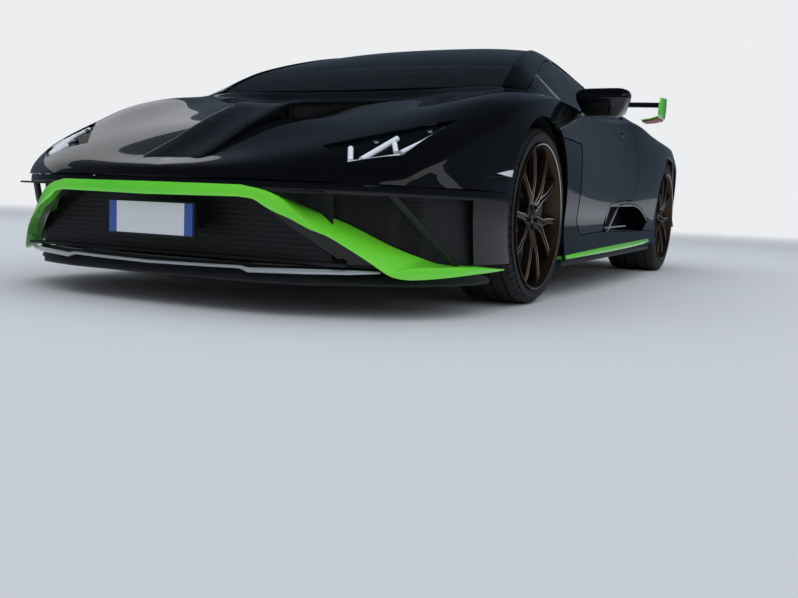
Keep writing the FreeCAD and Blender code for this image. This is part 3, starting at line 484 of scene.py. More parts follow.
frontWheel, rearWheel = (-1.2135, .3275), (1.4065, .3455)
shut = dict(gap=.0022, wall=.012, seam=.405, doorFront=-.655)
frontArch = circle(frontWheel, .3645)
rearArch = circle(rearWheel, .3735)
doorSide = [(-.655, .31), (-.595, .25), (-.17, .262), (-.06, .40), (.425, .43), (.575, .56), (.583, 1.05),
            (-.655, 1.05)]
footLine = [(.861, -1.012), (.858, -.95), (.850, -.80), (.842, -.65), (.836, -.50), (.832, -.35), (.828, -.20),
            (.828, .10), (.832, .32), (.840, .62), (.830, .96), (.700, 1.4065), (.600, 1.83)]
intake = [(-.12, .268), (-.045, .385), (.56, .398), (.89, .33), (.72, .262)]
lipLine = [(0, -1.004), (.45, -1.004), (.70, -1.004), (.80, -1.012), (.861, -1.012)]
lampPlan = [(.493, -2.03), (.608, -2.105), (.749, -1.981), (.760, -1.932), (.801, -1.682), (.758, -1.731),
            (.622, -1.889)]
lowRear = [(-1.013, .30), (-1.013, .64), (-.60, .64)]


def footX(y):
    return between(y, [p[1] for p in footLine], [p[0] for p in footLine])


def mirrored(outline):
    return [(-a, b) for a, b in outline]


def onSide(outline, side):
    return outline if side > 0 else mirrored(outline)


gap = shut["gap"]
lid = [(-x, y) for x, y in lipLine[::-1]] + lipLine[1:]
bonnetCuts = [
    ([(-2.5, shut["seam"]), (-.5, shut["seam"])], 0, False, 0),
    ([(shut["doorFront"] - gap, .2), (shut["doorFront"] - gap, 1.0)], 0, False, 0),
    (frontArch, 0, True, 0),
    (lid, 2, False, 0), (lowRear, 0, False, 0),
    (lampPlan, 2, True, 1), (mirrored(lampPlan), 2, True, -1),
    (footLine[:4], 2, False, 1), (mirrored(footLine[:4]), 2, False, -1),
]


def inBonnet(face, c):
    if c.y > shut["doorFront"] - gap or c.z < shut["seam"]:
        return False
    if inside(frontArch, c.y, c.z) or inside(lampPlan, abs(c.x), c.y):
        return False
    if c.y > lowRear[0][0] and c.z < lowRear[1][1]:
        return False
    if c.y > -1.012 and abs(c.x) < footX(c.y) and c.z > .7:
        return c.y < between(abs(c.x), [x for x, y in lipLine], [y for x, y in lipLine])
    return True


bonnetSheet = panel(skinMesh, bonnetCuts, inBonnet, -shut["wall"])
addPiece(bonnetSheet, "bonnet_skin", "cellulosePaintBlack", "clamshell_body", ["clamshell"])

doorEdge, doorHole = grown(doorSide, -gap), grown(doorSide, gap)
for side, tag in sides:
    sideFoot = onSide(footLine, side)

    def inDoor(face, c):
        return c.x * side > footX(c.y) and inside(doorEdge, c.y, c.z)

    addPiece(panel(skinMesh, [(doorEdge, 0, True, side), (sideFoot, 2, False, side)], inDoor, -shut["wall"]),
             "door_skin_" + tag, "cellulosePaintBlack", "door_body_" + tag, ["door_" + tag])

    def inQuarter(face, c):
        if c.x * side < 0 or c.y < -.10 or c.z < .262:
            return False
        if inside(doorHole, c.y, c.z) or inside(rearArch, c.y, c.z) or inside(intake, c.y, c.z):
            return False
        if c.z > .7 and c.x * side < footX(c.y) and c.y < 1.83:
            return False
        return True

    quarterCuts = [(doorHole, 0, True, side), (rearArch, 0, True, side), (intake, 0, True, side),
                   (sideFoot, 2, False, side), ([(-.2, .262), (2.3, .262)], 0, False, side)]
    addPiece(panel(skinMesh, quarterCuts, inQuarter, -shut["wall"]), "quarter_skin_" + tag, "cellulosePaintBlack",
             "chassis", ["rear_quarter_" + tag])
print("supercar: panels cut")


def cabinPanel(test, name, finishName, body, stands, wall, shrink):
    bm = bmesh.new()
    bm.from_mesh(cabinMesh)
    row = bm.faces.layers.int["row"]
    column = bm.faces.layers.int["column"]
    gone = [f for f in bm.faces if not test(f[row], f[column], f.calc_center_median())]
    bmesh.ops.delete(bm, geom=gone, context="FACES")
    bmesh.ops.recalc_face_normals(bm, faces=bm.faces)
    if sum(f.normal.z * f.calc_area() for f in bm.faces) < 0:
        bmesh.ops.reverse_faces(bm, faces=bm.faces)
    ring = bmesh.ops.inset_region(bm, faces=bm.faces, thickness=shrink, use_boundary=True, use_even_offset=True)
    bmesh.ops.delete(bm, geom=ring["faces"], context="FACES")
    bmesh.ops.solidify(bm, geom=bm.faces, thickness=-wall)
    return addPiece(bm, name, finishName, body, stands)


cabinPanel(lambda r, k, c: k < 2 and c.y < -.055, "screen_glass", "tintedGlass", "chassis", ["windscreen"], .005, .003)
cabinPanel(lambda r, k, c: (k < 2 and -.055 < c.y < .69) or (k == 2 and c.y < .62), "roof_skin", "cellulosePaintBlack",
           "chassis", ["roof"], .012, .001)
cabinPanel(lambda r, k, c: k < 2 and c.y > .69, "engine_lid_skin", "cellulosePaintBlack", "engine_lid",
           ["engine_cover"], .010, .003)
for side, tag in sides:
    cabinPanel(lambda r, k, c: k == 3 and -.655 < c.y < .575 and c.x * side > 0, "door_pane_" + tag, "tintedGlass",
               "door_body_" + tag, ["door_glass_" + tag], .004, .002)
    cabinPanel(lambda r, k, c: k == 3 and c.y < -.655 and c.x * side > 0, "quarter_pane_" + tag, "tintedGlass",
               "chassis", [], .004, .002)
    cabinPanel(lambda r, k, c: k >= 2 and c.y > (.575 if k == 3 else .62) and c.x * side > 0, "buttress_" + tag,
               "cellulosePaintBlack", "chassis", [], .010, .001)
print("supercar: cabin cut")

# raised spine of the bonnet: two sharp ribs that part over the outlets
# rows are y, half width, edge height, wall's inset
spine = [(-2.205, .112, .4430, 0), (-2.150, .122, .4745, 0), (-2.100, .125, .499, 0), (-2.000, .119, .547, 0),
         (-1.900, .118, .600, 0), (-1.800, .121, .647, 0), (-1.720, .121, .681, 0), (-1.660, .123, .704, .004),
         (-1.610, .142, .716, .030), (-1.500, .215, .730, .034), (-1.400, .287, .742, .030),
         (-1.300, .362, .754, .012), (-1.200, .430, .770, 0), (-1.100, .490, .789, 0), (-1.045, .515, .795, 0)]
spineRows = []
for y, half, z, inset in spine:
    sink = .030 if inset == 0 else .075
    top = [(half, z), (half * .93, z + .0012), (half * .5, z - .004), (0, z - .006)]
    wall = [(half - inset - .004, z - sink), (half - inset, z - .011), (half, z - .008)]
    right = [(x, y, up) for x, up in wall + top]
    spineRows.append(right + [(-x, y, up) for x, y, up in right[-2::-1]])
spineBm = ribbon(spineRows)
for face in spineBm.faces:
    c = face.calc_center_median()
    edgeZ = between(c.y, [r[0] for r in spine], [r[2] for r in spine])
    if -1.655 < c.y < -1.25 and c.z < edgeZ - .0095:
        face.material_index = 1
addPiece(spineBm, "bonnet_spine", ["cellulosePaintBlack", "mouldedPolypropyleneBlack"], "clamshell_body", sharp=24)

# nose badge place, left bare
badgeBm = bmesh.new()
bmesh.ops.create_cone(badgeBm, cap_ends=True, segments=40, radius1=.030, radius2=.027, depth=.004)
bmesh.ops.scale(badgeBm, vec=(1, .72, 1), verts=badgeBm.verts)
bmesh.ops.transform(badgeBm, matrix=Matrix.Translation((0, -2.176, .4605)) @ Matrix.Rotation(math.radians(27), 4, "X"),
                    verts=badgeBm.verts)
addPiece(badgeBm, "bare_badge", "satinNickel", "clamshell_body")


def skinPatch(test, cuts, moved=(0, 0, 0), deep=None, wall=.003):  # a piece of the body skin with its own use
    bm = panel(skinMesh, cuts, test, 0)
    bmesh.ops.translate(bm, vec=moved, verts=bm.verts)
    if deep:
        outer = set(bm.faces)
        push = bmesh.ops.extrude_face_region(bm, geom=bm.faces[:])
        floorVerts = [g for g in push["geom"] if isinstance(g, bmesh.types.BMVert)]
        bmesh.ops.translate(bm, verts=floorVerts, vec=deep)
        bmesh.ops.delete(bm, geom=[f for f in outer if f.is_valid], context="FACES")
    bmesh.ops.solidify(bm, geom=bm.faces, thickness=wall)
    return bm


# headlamps: cover, sunk housing, light bars in two vees and two projector beads
lightBars = [((.627, -2.081, .474), (.596, -2.028, .516), .0085), ((.652, -2.060, .480), (.694, -1.908, .556), .0090),
             ((.726, -1.976, .508), (.703, -1.944, .538), .0080), ((.738, -1.966, .508), (.764, -1.880, .544), .0085),
             ((.764, -1.880, .544), (.785, -1.745, .600), .0080), ((.622, -2.088, .470), (.738, -1.972, .502), .0035)]
lightBeads = [(.750, -1.790, .588), (.642, -1.950, .540)]
for side, tag in sides:
    outline = onSide(lampPlan, side)
    lampCut = [(outline, 2, True, side)]

    def inLamp(face, c):
        return c.x * side > 0 and c.z > .42 and inside(outline, c.x, c.y)

    addPiece(skinPatch(inLamp, lampCut, (0, 0, -.001)), "lamp_cover_" + tag, "clearPolycarbonate", "clamshell_body",
             ["headlamps"])
    addPiece(skinPatch(inLamp, lampCut, (0, .001, -.004), (-.020 * side, .024, -.044), .002), "lamp_housing_" + tag,
             "polishedAcrylicBlack", "clamshell_body")
barBm = bmesh.new()
for start, end, radius in lightBars:
    addBar(barBm, start, end, radius, 8, 0)
for place in lightBeads:
    before = set(barBm.faces)
    bmesh.ops.create_uvsphere(barBm, u_segments=20, v_segments=12, radius=.009, matrix=Matrix.Translation(place))
    toned(barBm, before, 1)
addPair(barBm, "light_bars_", ["opalPolycarbonate", "chromedPlastic"], "clamshell_body")
print("supercar: lamps")

# lower nose: a curved fascia under the seam, cut for the middle mouth and the side ducts
nose = dict(xs=[0, .15, .30, .45, .58, .70, .80, .87, .92, .955, .957],
            sweeps=[0, .005, .010, .034, .083, .155, .256, .377, .522, .66, .80],
            rows=[(.403, 0), (.388, -.004), (.360, 0), (.300, .004), (.230, .016), (.165, .030), (.140, .034)],
            start=-2.258)


def nosePoint(k, back, z):
    return (nose["xs"][k], nose["start"] + back + nose["sweeps"][k], z)


noseMesh = cage([[nosePoint(k, back, z) for k in range(11)] for z, back in nose["rows"]], [0] * 11, 2)
mouthFront = [(-.36, .374), (.36, .374), (.655, .158), (-.655, .158)]
ductFront = [(.445, .374), (.905, .374), (.905, .166), (.742, .166)]


def inNose(face, c):
    if inside(mouthFront, c.x, c.z) or inside(ductFront, abs(c.x), c.z) or inside(frontArch, c.y, c.z):
        return False
    return c.y < frontWheel[0] and (c.z > .166 or abs(c.x) < .655)


fasciaCuts = [(mouthFront, 1, True, 0), (ductFront, 1, True, 1), (mirrored(ductFront), 1, True, -1),
              (frontArch, 0, True, 0), ([(-1.1, .166), (1.1, .166)], 1, False, 0)]
addPiece(panel(noseMesh, fasciaCuts, inNose, -.004), "nose_fascia", "polishedAcrylicBlack", "chassis",
         ["front_bumper"])

# mouths: woven mesh set back, with a dark box round it
meshBm = bmesh.new()
bmesh.ops.create_grid(meshBm, x_segments=64, y_segments=13, size=.5)
for v in meshBm.verts:
    share = .5 - v.co.y
    half = .335 + .30 * share
    v.co = (v.co.x * 2 * half, -2.165 + .02 * share, .372 - .21 * share)
bmesh.ops.wireframe(meshBm, faces=meshBm.faces, thickness=.0022, use_even_offset=True, use_replace=True)
addPiece(meshBm, "mouth_mesh", "mouldedPolypropyleneBlack")
linerBm = addBlock(bmesh.new(), (-.60, -2.125, .372), (.60, -2.235, .378))
addBlock(linerBm, (-.60, -2.128, .165), (.60, -2.123, .378))
addBlock(linerBm, (-.655, -2.150, .158), (.655, -2.123, .168))
addPiece(linerBm, "mouth_liner", "mouldedPolypropyleneBlack")
ductBm = bmesh.new()
bmesh.ops.create_grid(ductBm, x_segments=34, y_segments=14, size=.5)
for v in ductBm.verts:
    share = .5 - v.co.y
    x = .46 + .26 * share + (v.co.x + .5) * (.44 - .26 * share)
    sweep = between(x, skin["planX"], skin["planY"])
    v.co = (x - .02, nose["start"] + sweep + .075, .372 - .205 * share)
bmesh.ops.wireframe(ductBm, faces=ductBm.faces, thickness=.0022, use_even_offset=True, use_replace=True)
addPair(ductBm, "duct_mesh_", "mouldedPolypropyleneBlack")
backBm = slab([(.47, -2.10), (.62, -2.05), (.80, -1.90), (.90, -1.72), (.885, -1.72), (.79, -1.87), (.61, -2.03),
               (.47, -2.08)], 2, .150, .378)
addPair(backBm, "duct_back_", "mouldedPolypropyleneBlack")
strutPath = [(.752, -2.050, .376), (.800, -1.995, .31), (.845, -1.925, .235), (.885, -1.86, .160)]
strutBm = ribbon([[(x - .014, y, z), (x + .014, y + .010, z), (x + .010, y + .028, z), (x - .018, y + .018, z)]
                  for x, y, z in strutPath])
addPair(eased(strutBm, .003), "duct_strut_", "mouldedPolypropyleneBlack")
markerBm = slab([(-1.700, .464), (-1.556, .483), (-1.552, .457)], 0, .9515, .9585, .0015)
addPair(markerBm, "side_marker_", "opalPolycarbonate", "clamshell_body")

# number plate, blank, with its coloured end bands and its holder
plate = dict(half=.171, band=.032, low=.226, high=.326, y=-2.250)
plateBm = bmesh.new()
for low, high, tone in ((-plate["half"], -plate["half"] + plate["band"], 1),
                        (-plate["half"] + plate["band"], plate["half"] - plate["band"], 0),
                        (plate["half"] - plate["band"], plate["half"], 1)):
    addBlock(plateBm, (low, plate["y"], plate["low"]), (high, plate["y"] + .003, plate["high"]), tone)
addPiece(plateBm, "plate_front", ["reflectiveSheetWhite", "reflectiveSheetBlue"])
holderBm = slab([(-.177, .220), (.177, .220), (.177, .332), (-.177, .332)], 1, plate["y"] + .0035,
                plate["y"] + .016, .003)
for x in (-.12, .12):
    addBlock(holderBm, (x - .02, plate["y"] + .012, .25), (x + .02, plate["y"] + .10, .27))
addPiece(holderBm, "plate_holder", "mouldedPolypropyleneBlack")

# green blade: bar, twisting arm and flat foot; corners are front low, front high, rear high, rear low
bladeRows = [
    ((.357, -2.271, .354), (.357, -2.266, .39), (.359, -2.226, .389), (.359, -2.232, .357)),
    ((.401, -2.261, .349), (.409, -2.255, .381), (.413, -2.211, .38), (.405, -2.218, .352)),
    ((.438, -2.251, .328), (.448, -2.245, .371), (.452, -2.198, .368), (.438, -2.205, .331)),
    ((.475, -2.243, .311), (.488, -2.232, .352), (.500, -2.168, .344), (.478, -2.180, .308)),
    ((.513, -2.230, .296), (.527, -2.219, .319), (.552, -2.128, .318), (.525, -2.140, .292)),
    ((.565, -2.206, .268), (.570, -2.199, .282), (.615, -2.074, .289), (.588, -2.088, .264)),
    ((.612, -2.180, .249), (.613, -2.176, .2535), (.676, -2.026, .254), (.650, -2.040, .234)),
    ((.655, -2.155, .222), (.657, -2.150, .2265), (.722, -1.995, .228), (.698, -2.005, .211)),
    ((.690, -2.132, .198), (.692, -2.126, .2035), (.758, -1.972, .211), (.734, -1.982, .193)),
    ((.727, -2.104, .169), (.732, -2.096, .177), (.786, -1.952, .199), (.764, -1.960, .181)),
    ((.768, -2.072, .137), (.772, -2.064, .149), (.812, -1.930, .188), (.792, -1.938, .17)),
    ((.800, -2.039, .126), (.805, -2.030, .157), (.838, -1.908, .177), (.820, -1.914, .156)),
    ((.835, -1.998, .125), (.840, -1.988, .161), (.868, -1.872, .17), (.850, -1.878, .149)),
    ((.890, -1.916, .131), (.893, -1.905, .163), (.904, -1.800, .166), (.886, -1.806, .148)),
    ((.935, -1.800, .139), (.937, -1.790, .162), (.915, -1.720, .163), (.899, -1.726, .146)),
    ((.952, -1.690, .142), (.953, -1.686, .156), (.925, -1.650, .156), (.912, -1.652, .145)),
    ((.957, -1.588, .1445), (.957, -1.586, .1495), (.944, -1.580, .1495), (.942, -1.580, .145)),
]


def doubled(rows):  # one more row half way between each two, straight at both ends
    out = []
    for k, (one, two) in enumerate(zip(rows, rows[1:])):
        if k in (0, len(rows) - 2):
            mid = [tuple((b[i] + c[i]) / 2 for i in range(3)) for b, c in zip(one, two)]
        else:
            mid = [tuple((9 * (b[i] + c[i]) - a[i] - d[i]) / 16 for i in range(3))
                   for a, b, c, d in zip(rows[k - 1], one, two, rows[k + 2])]
        out += [one, mid]
    return out + [rows[-1]]


bladePath = doubled(doubled(bladeRows))
middle = [[(0, -2.277, .350), (0, -2.274, .391), (0, -2.214, .390), (0, -2.220, .353)]]
bladePath = [[(-x, y, z) for x, y, z in row] for row in bladePath[::-1]] + middle + bladePath
bladeBm = ribbon(bladePath)
edges = [e for e in bladeBm.edges if len(e.link_faces) == 2 and e.calc_face_angle(0) > .6]
bmesh.ops.bevel(bladeBm, geom=edges, offset=.0025, segments=2, profile=.5, affect="EDGES", clamp_overlap=True)
addPiece(bladeBm, "blade_skin", "pearlPaintGreen", "chassis", ["front_blade"], sharp=40)

# splitter: chin with a painted highlight over a flat tray; the bright nickel strip stands where the glossy black lip's
# edge catches light
chinPath = [(0, .138, .010), (.21, .141, .010), (.345, .1435, .010), (.372, .136, .016), (.545, .141, .017),
            (.66, .143, .015), (.731, .1445, .008)]  # x, z, height
chinRows = []
for x, z, tall in [(-x, z, tall) for x, z, tall in chinPath[:0:-1]] + chinPath:
    y = nose["start"] + between(abs(x), nose["xs"], nose["sweeps"]) - .002
    chinRows.append([(x, y + .004, z - tall * .5), (x, y, z), (x, y + .008, z + tall * .5),
                     (x, y + .028, z - tall * .3)])
# the chin strip's bright nickel is a painted highlight along the glossy black lip's edge
addPiece(eased(ribbon(chinRows), .0012, 1), "chin_painted_highlight", "satinNickel")
trayRows = []
trayXs = [0, .2, .35, .45, .55, .65, .75, .82, .87, .91]
for x in [-x for x in trayXs[:0:-1]] + trayXs:
    sweep = between(abs(x), skin["planX"], skin["planY"])
    y = nose["start"] + .012 + sweep + .035 * (abs(x) > .6)
    trayRows.append([(x, y + .004, .0985), (x, y, .104), (x, y + .006, .112), (x, y + .03, .134), (x, -1.60, .1175),
                     (x, -1.60, .0985)])
addPiece(eased(ribbon(trayRows), .002, 1), "splitter_tray", "mouldedPolypropyleneBlack", "chassis", ["splitter"])
print("supercar: nose")

# skirts: the sill under the door with the pillar ahead of it, a green blade along its foot
skirtRows = [(-.870, .925, .968, .153, .172), (-.60, .930, .984, .160, .184), (-.20, .930, .990, .167, .196),
             (.25, .930, .990, .176, .206), (.60, .930, .986, .186, .214), (.80, .934, .978, .195, .218),
             (.90, .948, .962, .206, .214)]  # y, inner x, outer x, low, high
for side, tag in sides:
    def inSkirt(face, c):
        if c.x * side < .6 or not -1.009 < c.y < 1.08 or c.z > .636:
            return False
        if inside(frontArch, c.y, c.z) or inside(rearArch, c.y, c.z) or inside(doorHole, c.y, c.z):
            return False
        return c.z < .258 or c.y < -.60

    skirtCuts = [(doorHole, 0, True, side), (frontArch, 0, True, side), (rearArch, 0, True, side),
                 ([(-1.009, .2), (-1.009, .636), (-.6, .636)], 0, False, side),
                 ([(-.2, .258), (1.2, .258)], 0, False, side)]
    addPiece(panel(skinMesh, skirtCuts, inSkirt, -.010), "skirt_skin_" + tag, "polishedAcrylicBlack", "chassis",
             ["side_skirt_" + tag])
rows = [[(inner, y, low), (outer, y, low + .004), (outer + .002, y, (low + high) / 2), (outer - .004, y, high),
         (inner, y, high - .006)] for y, inner, outer, low, high in skirtRows]
addPair(eased(ribbon(rows), .002, 2), "skirt_blade_", "pearlPaintGreen", sharp=40)
foot = slab([(-.86, .124), (.98, .150), (.98, .172), (-.86, .156)], 0, .80, .945, .004)
addPair(foot, "skirt_foot_", "mouldedPolypropyleneBlack")

# side intakes: a dark duct, its edging and two rods; the edging's rows are y, z, width
edging = [(.12, .395, .016), (.30, .404, .020), (.56, .404, .030), (.76, .366, .040), (.875, .322, .044),
          (.80, .272, .038), (.735, .232, .026)]
ductBm = slab([(-.14, .25), (-.05, .40), (.57, .42), (.93, .34), (.76, .24)], 0, .775, .79)
addPair(ductBm, "intake_wall_", "mouldedPolypropyleneBlack")
rows = [[(.948, y, z - w * .5), (.956, y + .004, z), (.948, y + .010, z + w * .5), (.905, y + .012, z + w * .3),
         (.900, y, z - w * .4)] for y, z, w in edging]
addPair(eased(softer(ribbon(rows), 1), 0), "intake_edging_", "polishedAcrylicBlack")
rodBm = addBar(bmesh.new(), (.920, .23, .392), (.935, -.078, .248), .0045)
addBar(rodBm, (.925, -.070, .280), (.910, .46, .288), .0045)
addBar(rodBm, (.935, -.078, .250), (.940, -.082, .200), .0045)
addPair(rodBm, "intake_rods_", "satinNickel")

# mirrors: a barrel shaped housing with a split line, its stalk and its glass; rows are z, x in, x out, y front, y back
mirrorRows = [(.766, .935, 1.060, -.575, -.490), (.773, .922, 1.076, -.592, -.484), (.800, .902, 1.093, -.604, -.481),
              (.832, .884, 1.106, -.610, -.480), (.842, .881, 1.109, -.611, -.480), (.8435, .885, 1.105, -.607, -.484),
              (.8460, .885, 1.105, -.607, -.484), (.8475, .880, 1.110, -.611, -.480),
              (.862, .879, 1.110, -.610, -.480), (.877, .888, 1.101, -.600, -.483), (.884, .906, 1.082, -.585, -.492)]
rings = [[(x, y, z) for x, y in rounded((a + b) / 2, (c + d) / 2, (b - a) / 2, (d - c) / 2, 36, .5)]
         for z, a, b, c, d in mirrorRows]
addPair(ribbon(rings), "mirror_skin_", "cellulosePaintBlack", "door_body_", ["mirror_"], sharp=50)
stalk = ribbon([[(x + dx, y + dy, z) for dx, dy in ((-.010, -.03), (.012, -.03), (.012, .03), (-.010, .03))]
                for x, y, z in ((.885, -.545, .770), (.915, -.540, .792), (.950, -.540, .800))])
addPair(eased(stalk, .004), "mirror_stalk_", "polishedAcrylicBlack", "door_body_")
glassBm = slab([(.905, .782), (1.080, .782), (1.094, .830), (1.088, .868), (.905, .868), (.894, .830)], 1, -.4805,
               -.4775, .001)
addPair(glassBm, "mirror_glass_", "silveredGlass", "door_body_")
print("supercar: sides")

# rear wing: aerofoil blade, end fins with a turned-in foot, two struts
wing = dict(z=1.135, y=2.262, chord=.245, half=.752)
foilShape = [(0, .016), (-.02, .022), (-.10, .024), (-.18, .014), (-.235, -.006), (-.245, -.016), (-.235, -.024),
             (-.16, -.020), (-.08, -.006), (-.02, .008)]
foilRows = []
for x in (-.752, -.70, -.45, -.2, 0, .2, .45, .70, .752):
    dip = .012 * (1 - (x / .752) ** 2)
    foilRows.append([(x, wing["y"] + along, wing["z"] + up + dip) for along, up in foilShape])
addPiece(ribbon(foilRows), "wing_blade", "cellulosePaintBlack", "chassis", ["rear_wing"], sharp=40)
fin = slab([(2.005, 1.060), (2.015, 1.118), (2.060, 1.182), (2.262, 1.197), (2.266, 1.120), (2.235, 1.046)], 0, .752,
           .764, .003)
addPair(fin, "wing_fin_", "pearlPaintGreen")
# the fin's turned-in foot and the red film under it: rows are x, z, how far the ends are cut back
footRows = [(.630, 1.026, .03), (.70, 1.034, .008), (.752, 1.049, 0), (.762, 1.066, 0)]
filmRows = [(.636, 1.026, .03), (.70, 1.034, .008), (.750, 1.048, 0)]
foot = ribbon([[(x, 2.03 + cut, z - .006), (x, 2.255 - cut, z - .006), (x, 2.255 - cut, z + .004),
                (x, 2.03 + cut, z + .004)] for x, z, cut in footRows])
addPair(eased(foot, .002, 1), "wing_foot_", "pearlPaintGreen")
film = ribbon([[(x, 2.04 + cut, z - .013), (x, 2.25 - cut, z - .013), (x, 2.25 - cut, z - .0065),
                (x, 2.04 + cut, z - .0065)] for x, z, cut in filmRows])
addPair(film, "wing_underside_", "satinPaintRed")
strut = slab([(1.985, .905), (2.045, 1.02), (2.09, 1.128), (2.20, 1.132), (2.165, 1.02), (2.12, .905)], 0, .325, .338,
             .004)
addPair(strut, "wing_strut_", "cellulosePaintBlack")

# tail panel: a curved sheet across the car, cut for the grille and the lamps
tail = dict(xs=[0, .20, .38, .52, .64, .74, .80, .85, .885], plan=[0, .02, .05, .09, .16, .24, .35, .45, .60])
tailRows = [(.912, -.020), (.905, .004), (.890, .012), (.860, -.006), (.800, -.012), (.730, -.002), (.600, .004),
            (.470, 0), (.380, -.020), (.305, -.050)]


def tailPoint(k, z, out):
    x = tail["xs"][k]
    back = between(x, [0, .35, .56, .74, .82, .90], [0, .015, .045, .10, .145, .36])
    crest = between(x, [0, .56, .64, .72, .80, .885], [.912, .905, .888, .842, .780, .730])
    return (x, 2.234 + out - back, min(z, crest - (.912 - z) * .4))


tailMesh = cage([[tailPoint(k, z, out) for k in range(9)] for z, out in tailRows], [0] * 9, 2)
grilleHole = [(-.47, .47), (.47, .47), (.64, .60), (.56, .735), (-.56, .735), (-.64, .60)]
tailLampHole = [(.50, .752), (.78, .752), (.845, .742), (.850, .672), (.70, .690)]


def inTail(face, c):
    return not (inside(grilleHole, c.x, c.z) or inside(tailLampHole, abs(c.x), c.z)) and c.z > .31


tailCuts = [(grilleHole, 1, True, 0), (tailLampHole, 1, True, 1), (mirrored(tailLampHole), 1, True, -1),
            ([(1.5, .31), (2.3, .31)], 0, False, 0)]
addPiece(panel(tailMesh, tailCuts, inTail, -.010), "tail_skin", "cellulosePaintBlack", "chassis", ["rear_bumper"])
for side, tag in sides:
    def inTailLamp(face, c):
        return c.x * side > 0 and inside(tailLampHole, abs(c.x), c.z)

    lampSheet = panel(tailMesh, [(onSide(tailLampHole, side), 1, True, side)], inTailLamp, 0)
    bmesh.ops.translate(lampSheet, vec=(0, -.006, 0), verts=lampSheet.verts)
    bmesh.ops.solidify(lampSheet, geom=lampSheet.faces, thickness=.003)
    addPiece(lampSheet, "tail_lens_" + tag, "redPolycarbonate", "chassis", ["tail_lamps"])
tubeBm = addBar(bmesh.new(), (.560, 2.165, .728), (.780, 2.095, .724), .006)
addBar(tubeBm, (.780, 2.095, .724), (.832, 2.045, .736), .006)
addBar(tubeBm, (.780, 2.095, .724), (.832, 2.045, .688), .006)
addPair(tubeBm, "tail_tube_", "opalPolycarbonate")
grilleBm = bmesh.new()
bmesh.ops.create_grid(grilleBm, x_segments=70, y_segments=16, size=.5)
for v in grilleBm.verts:
    z = .6 + v.co.y * .27
    half = between(z, [.46, .60, .74], [.47, .645, .56])
    v.co = (v.co.x * 2 * half, 2.165 - .25 * (v.co.x * 2 * half) ** 2 * .4, z)
bmesh.ops.wireframe(grilleBm, faces=grilleBm.faces, thickness=.0024, use_even_offset=True, use_replace=True)
addPiece(grilleBm, "tail_mesh", "mouldedPolypropyleneBlack")
plateBm = bmesh.new()
addBlock(plateBm, (-.26, 2.222, .352), (.26, 2.226, .462), 0)
addPiece(plateBm, "plate_rear", ["reflectiveSheetWhite"])

# tail pipes: two rolled tubes through the grille, on the silencer's box
pipesBm = bmesh.new()
for x in (-.095, .095):
    lathe(pipesBm, [(2.05, .050), (2.05, .056), (2.195, .056), (2.206, .0585), (2.210, .057), (2.206, .053),
                    (2.19, .051)], (x, 0, .622), 1, 56)
addBlock(pipesBm, (-.24, 2.05, .560), (.24, 2.11, .678), 1)
addPiece(eased(pipesBm, 0), "tail_pipes", ["bluedSteel", "castAluminium"], "chassis", ["exhaust_pipes"])
print("supercar: tail")

# wheels: tyre with circular grooves and shoulder blocks, rim as a barrel with ten slim spokes in five vees, brake disc
wheels = [dict(tag="front", x=.828, y=-1.2135, r=.3275, width=.245),
          dict(tag="rear", x=.800, y=1.4065, r=.3455, width=.305)]
bore = .272
spokeShape = [(-.0150, -.0035), (-.0122, 0), (-.0088, -.0002), (-.0058, -.0060), (.0058, -.0060), (.0088, -.0002),
              (.0122, 0), (.0150, -.0035), (.0155, -.022), (.008, -.030), (-.008, -.030), (-.0155, -.022)]
# radius, recess, half angle of the vee in degrees, width share
spokeStations = [(.044, .030, 7.0, 1.25), (.070, .024, 7.4, 1.15), (.100, .018, 8.6, 1.05), (.112, .016, 10.6, 1.0),
                 (.125, .0145, 13.6, .90), (.160, .012, 15.6, .80), (.205, .011, 16.6, .75), (.240, .012, 17.2, .78),
                 (.268, .020, 17.5, 1.0)]


def tyreProfile(half, r):
    grooves = [-.62, -.21, .21, .62]
    points = [(-half + .004, bore + .004), (-half - .001, bore + .022), (-half, bore + .036), (-half + .004, r - .022),
              (-half + .014, r - .006), (-half + .026, r - .0018)]
    for share in grooves:
        x = share * half
        points += [(x - .0045, r), (x - .0038, r - .007), (x + .0038, r - .007), (x + .0045, r)]
    points += [(half - .026, r - .0018), (half - .014, r - .006), (half - .004, r - .022), (half, bore + .036),
               (half + .001, bore + .022), (half - .004, bore + .004), (half - .012, bore), (-half + .012, bore)]
    return points


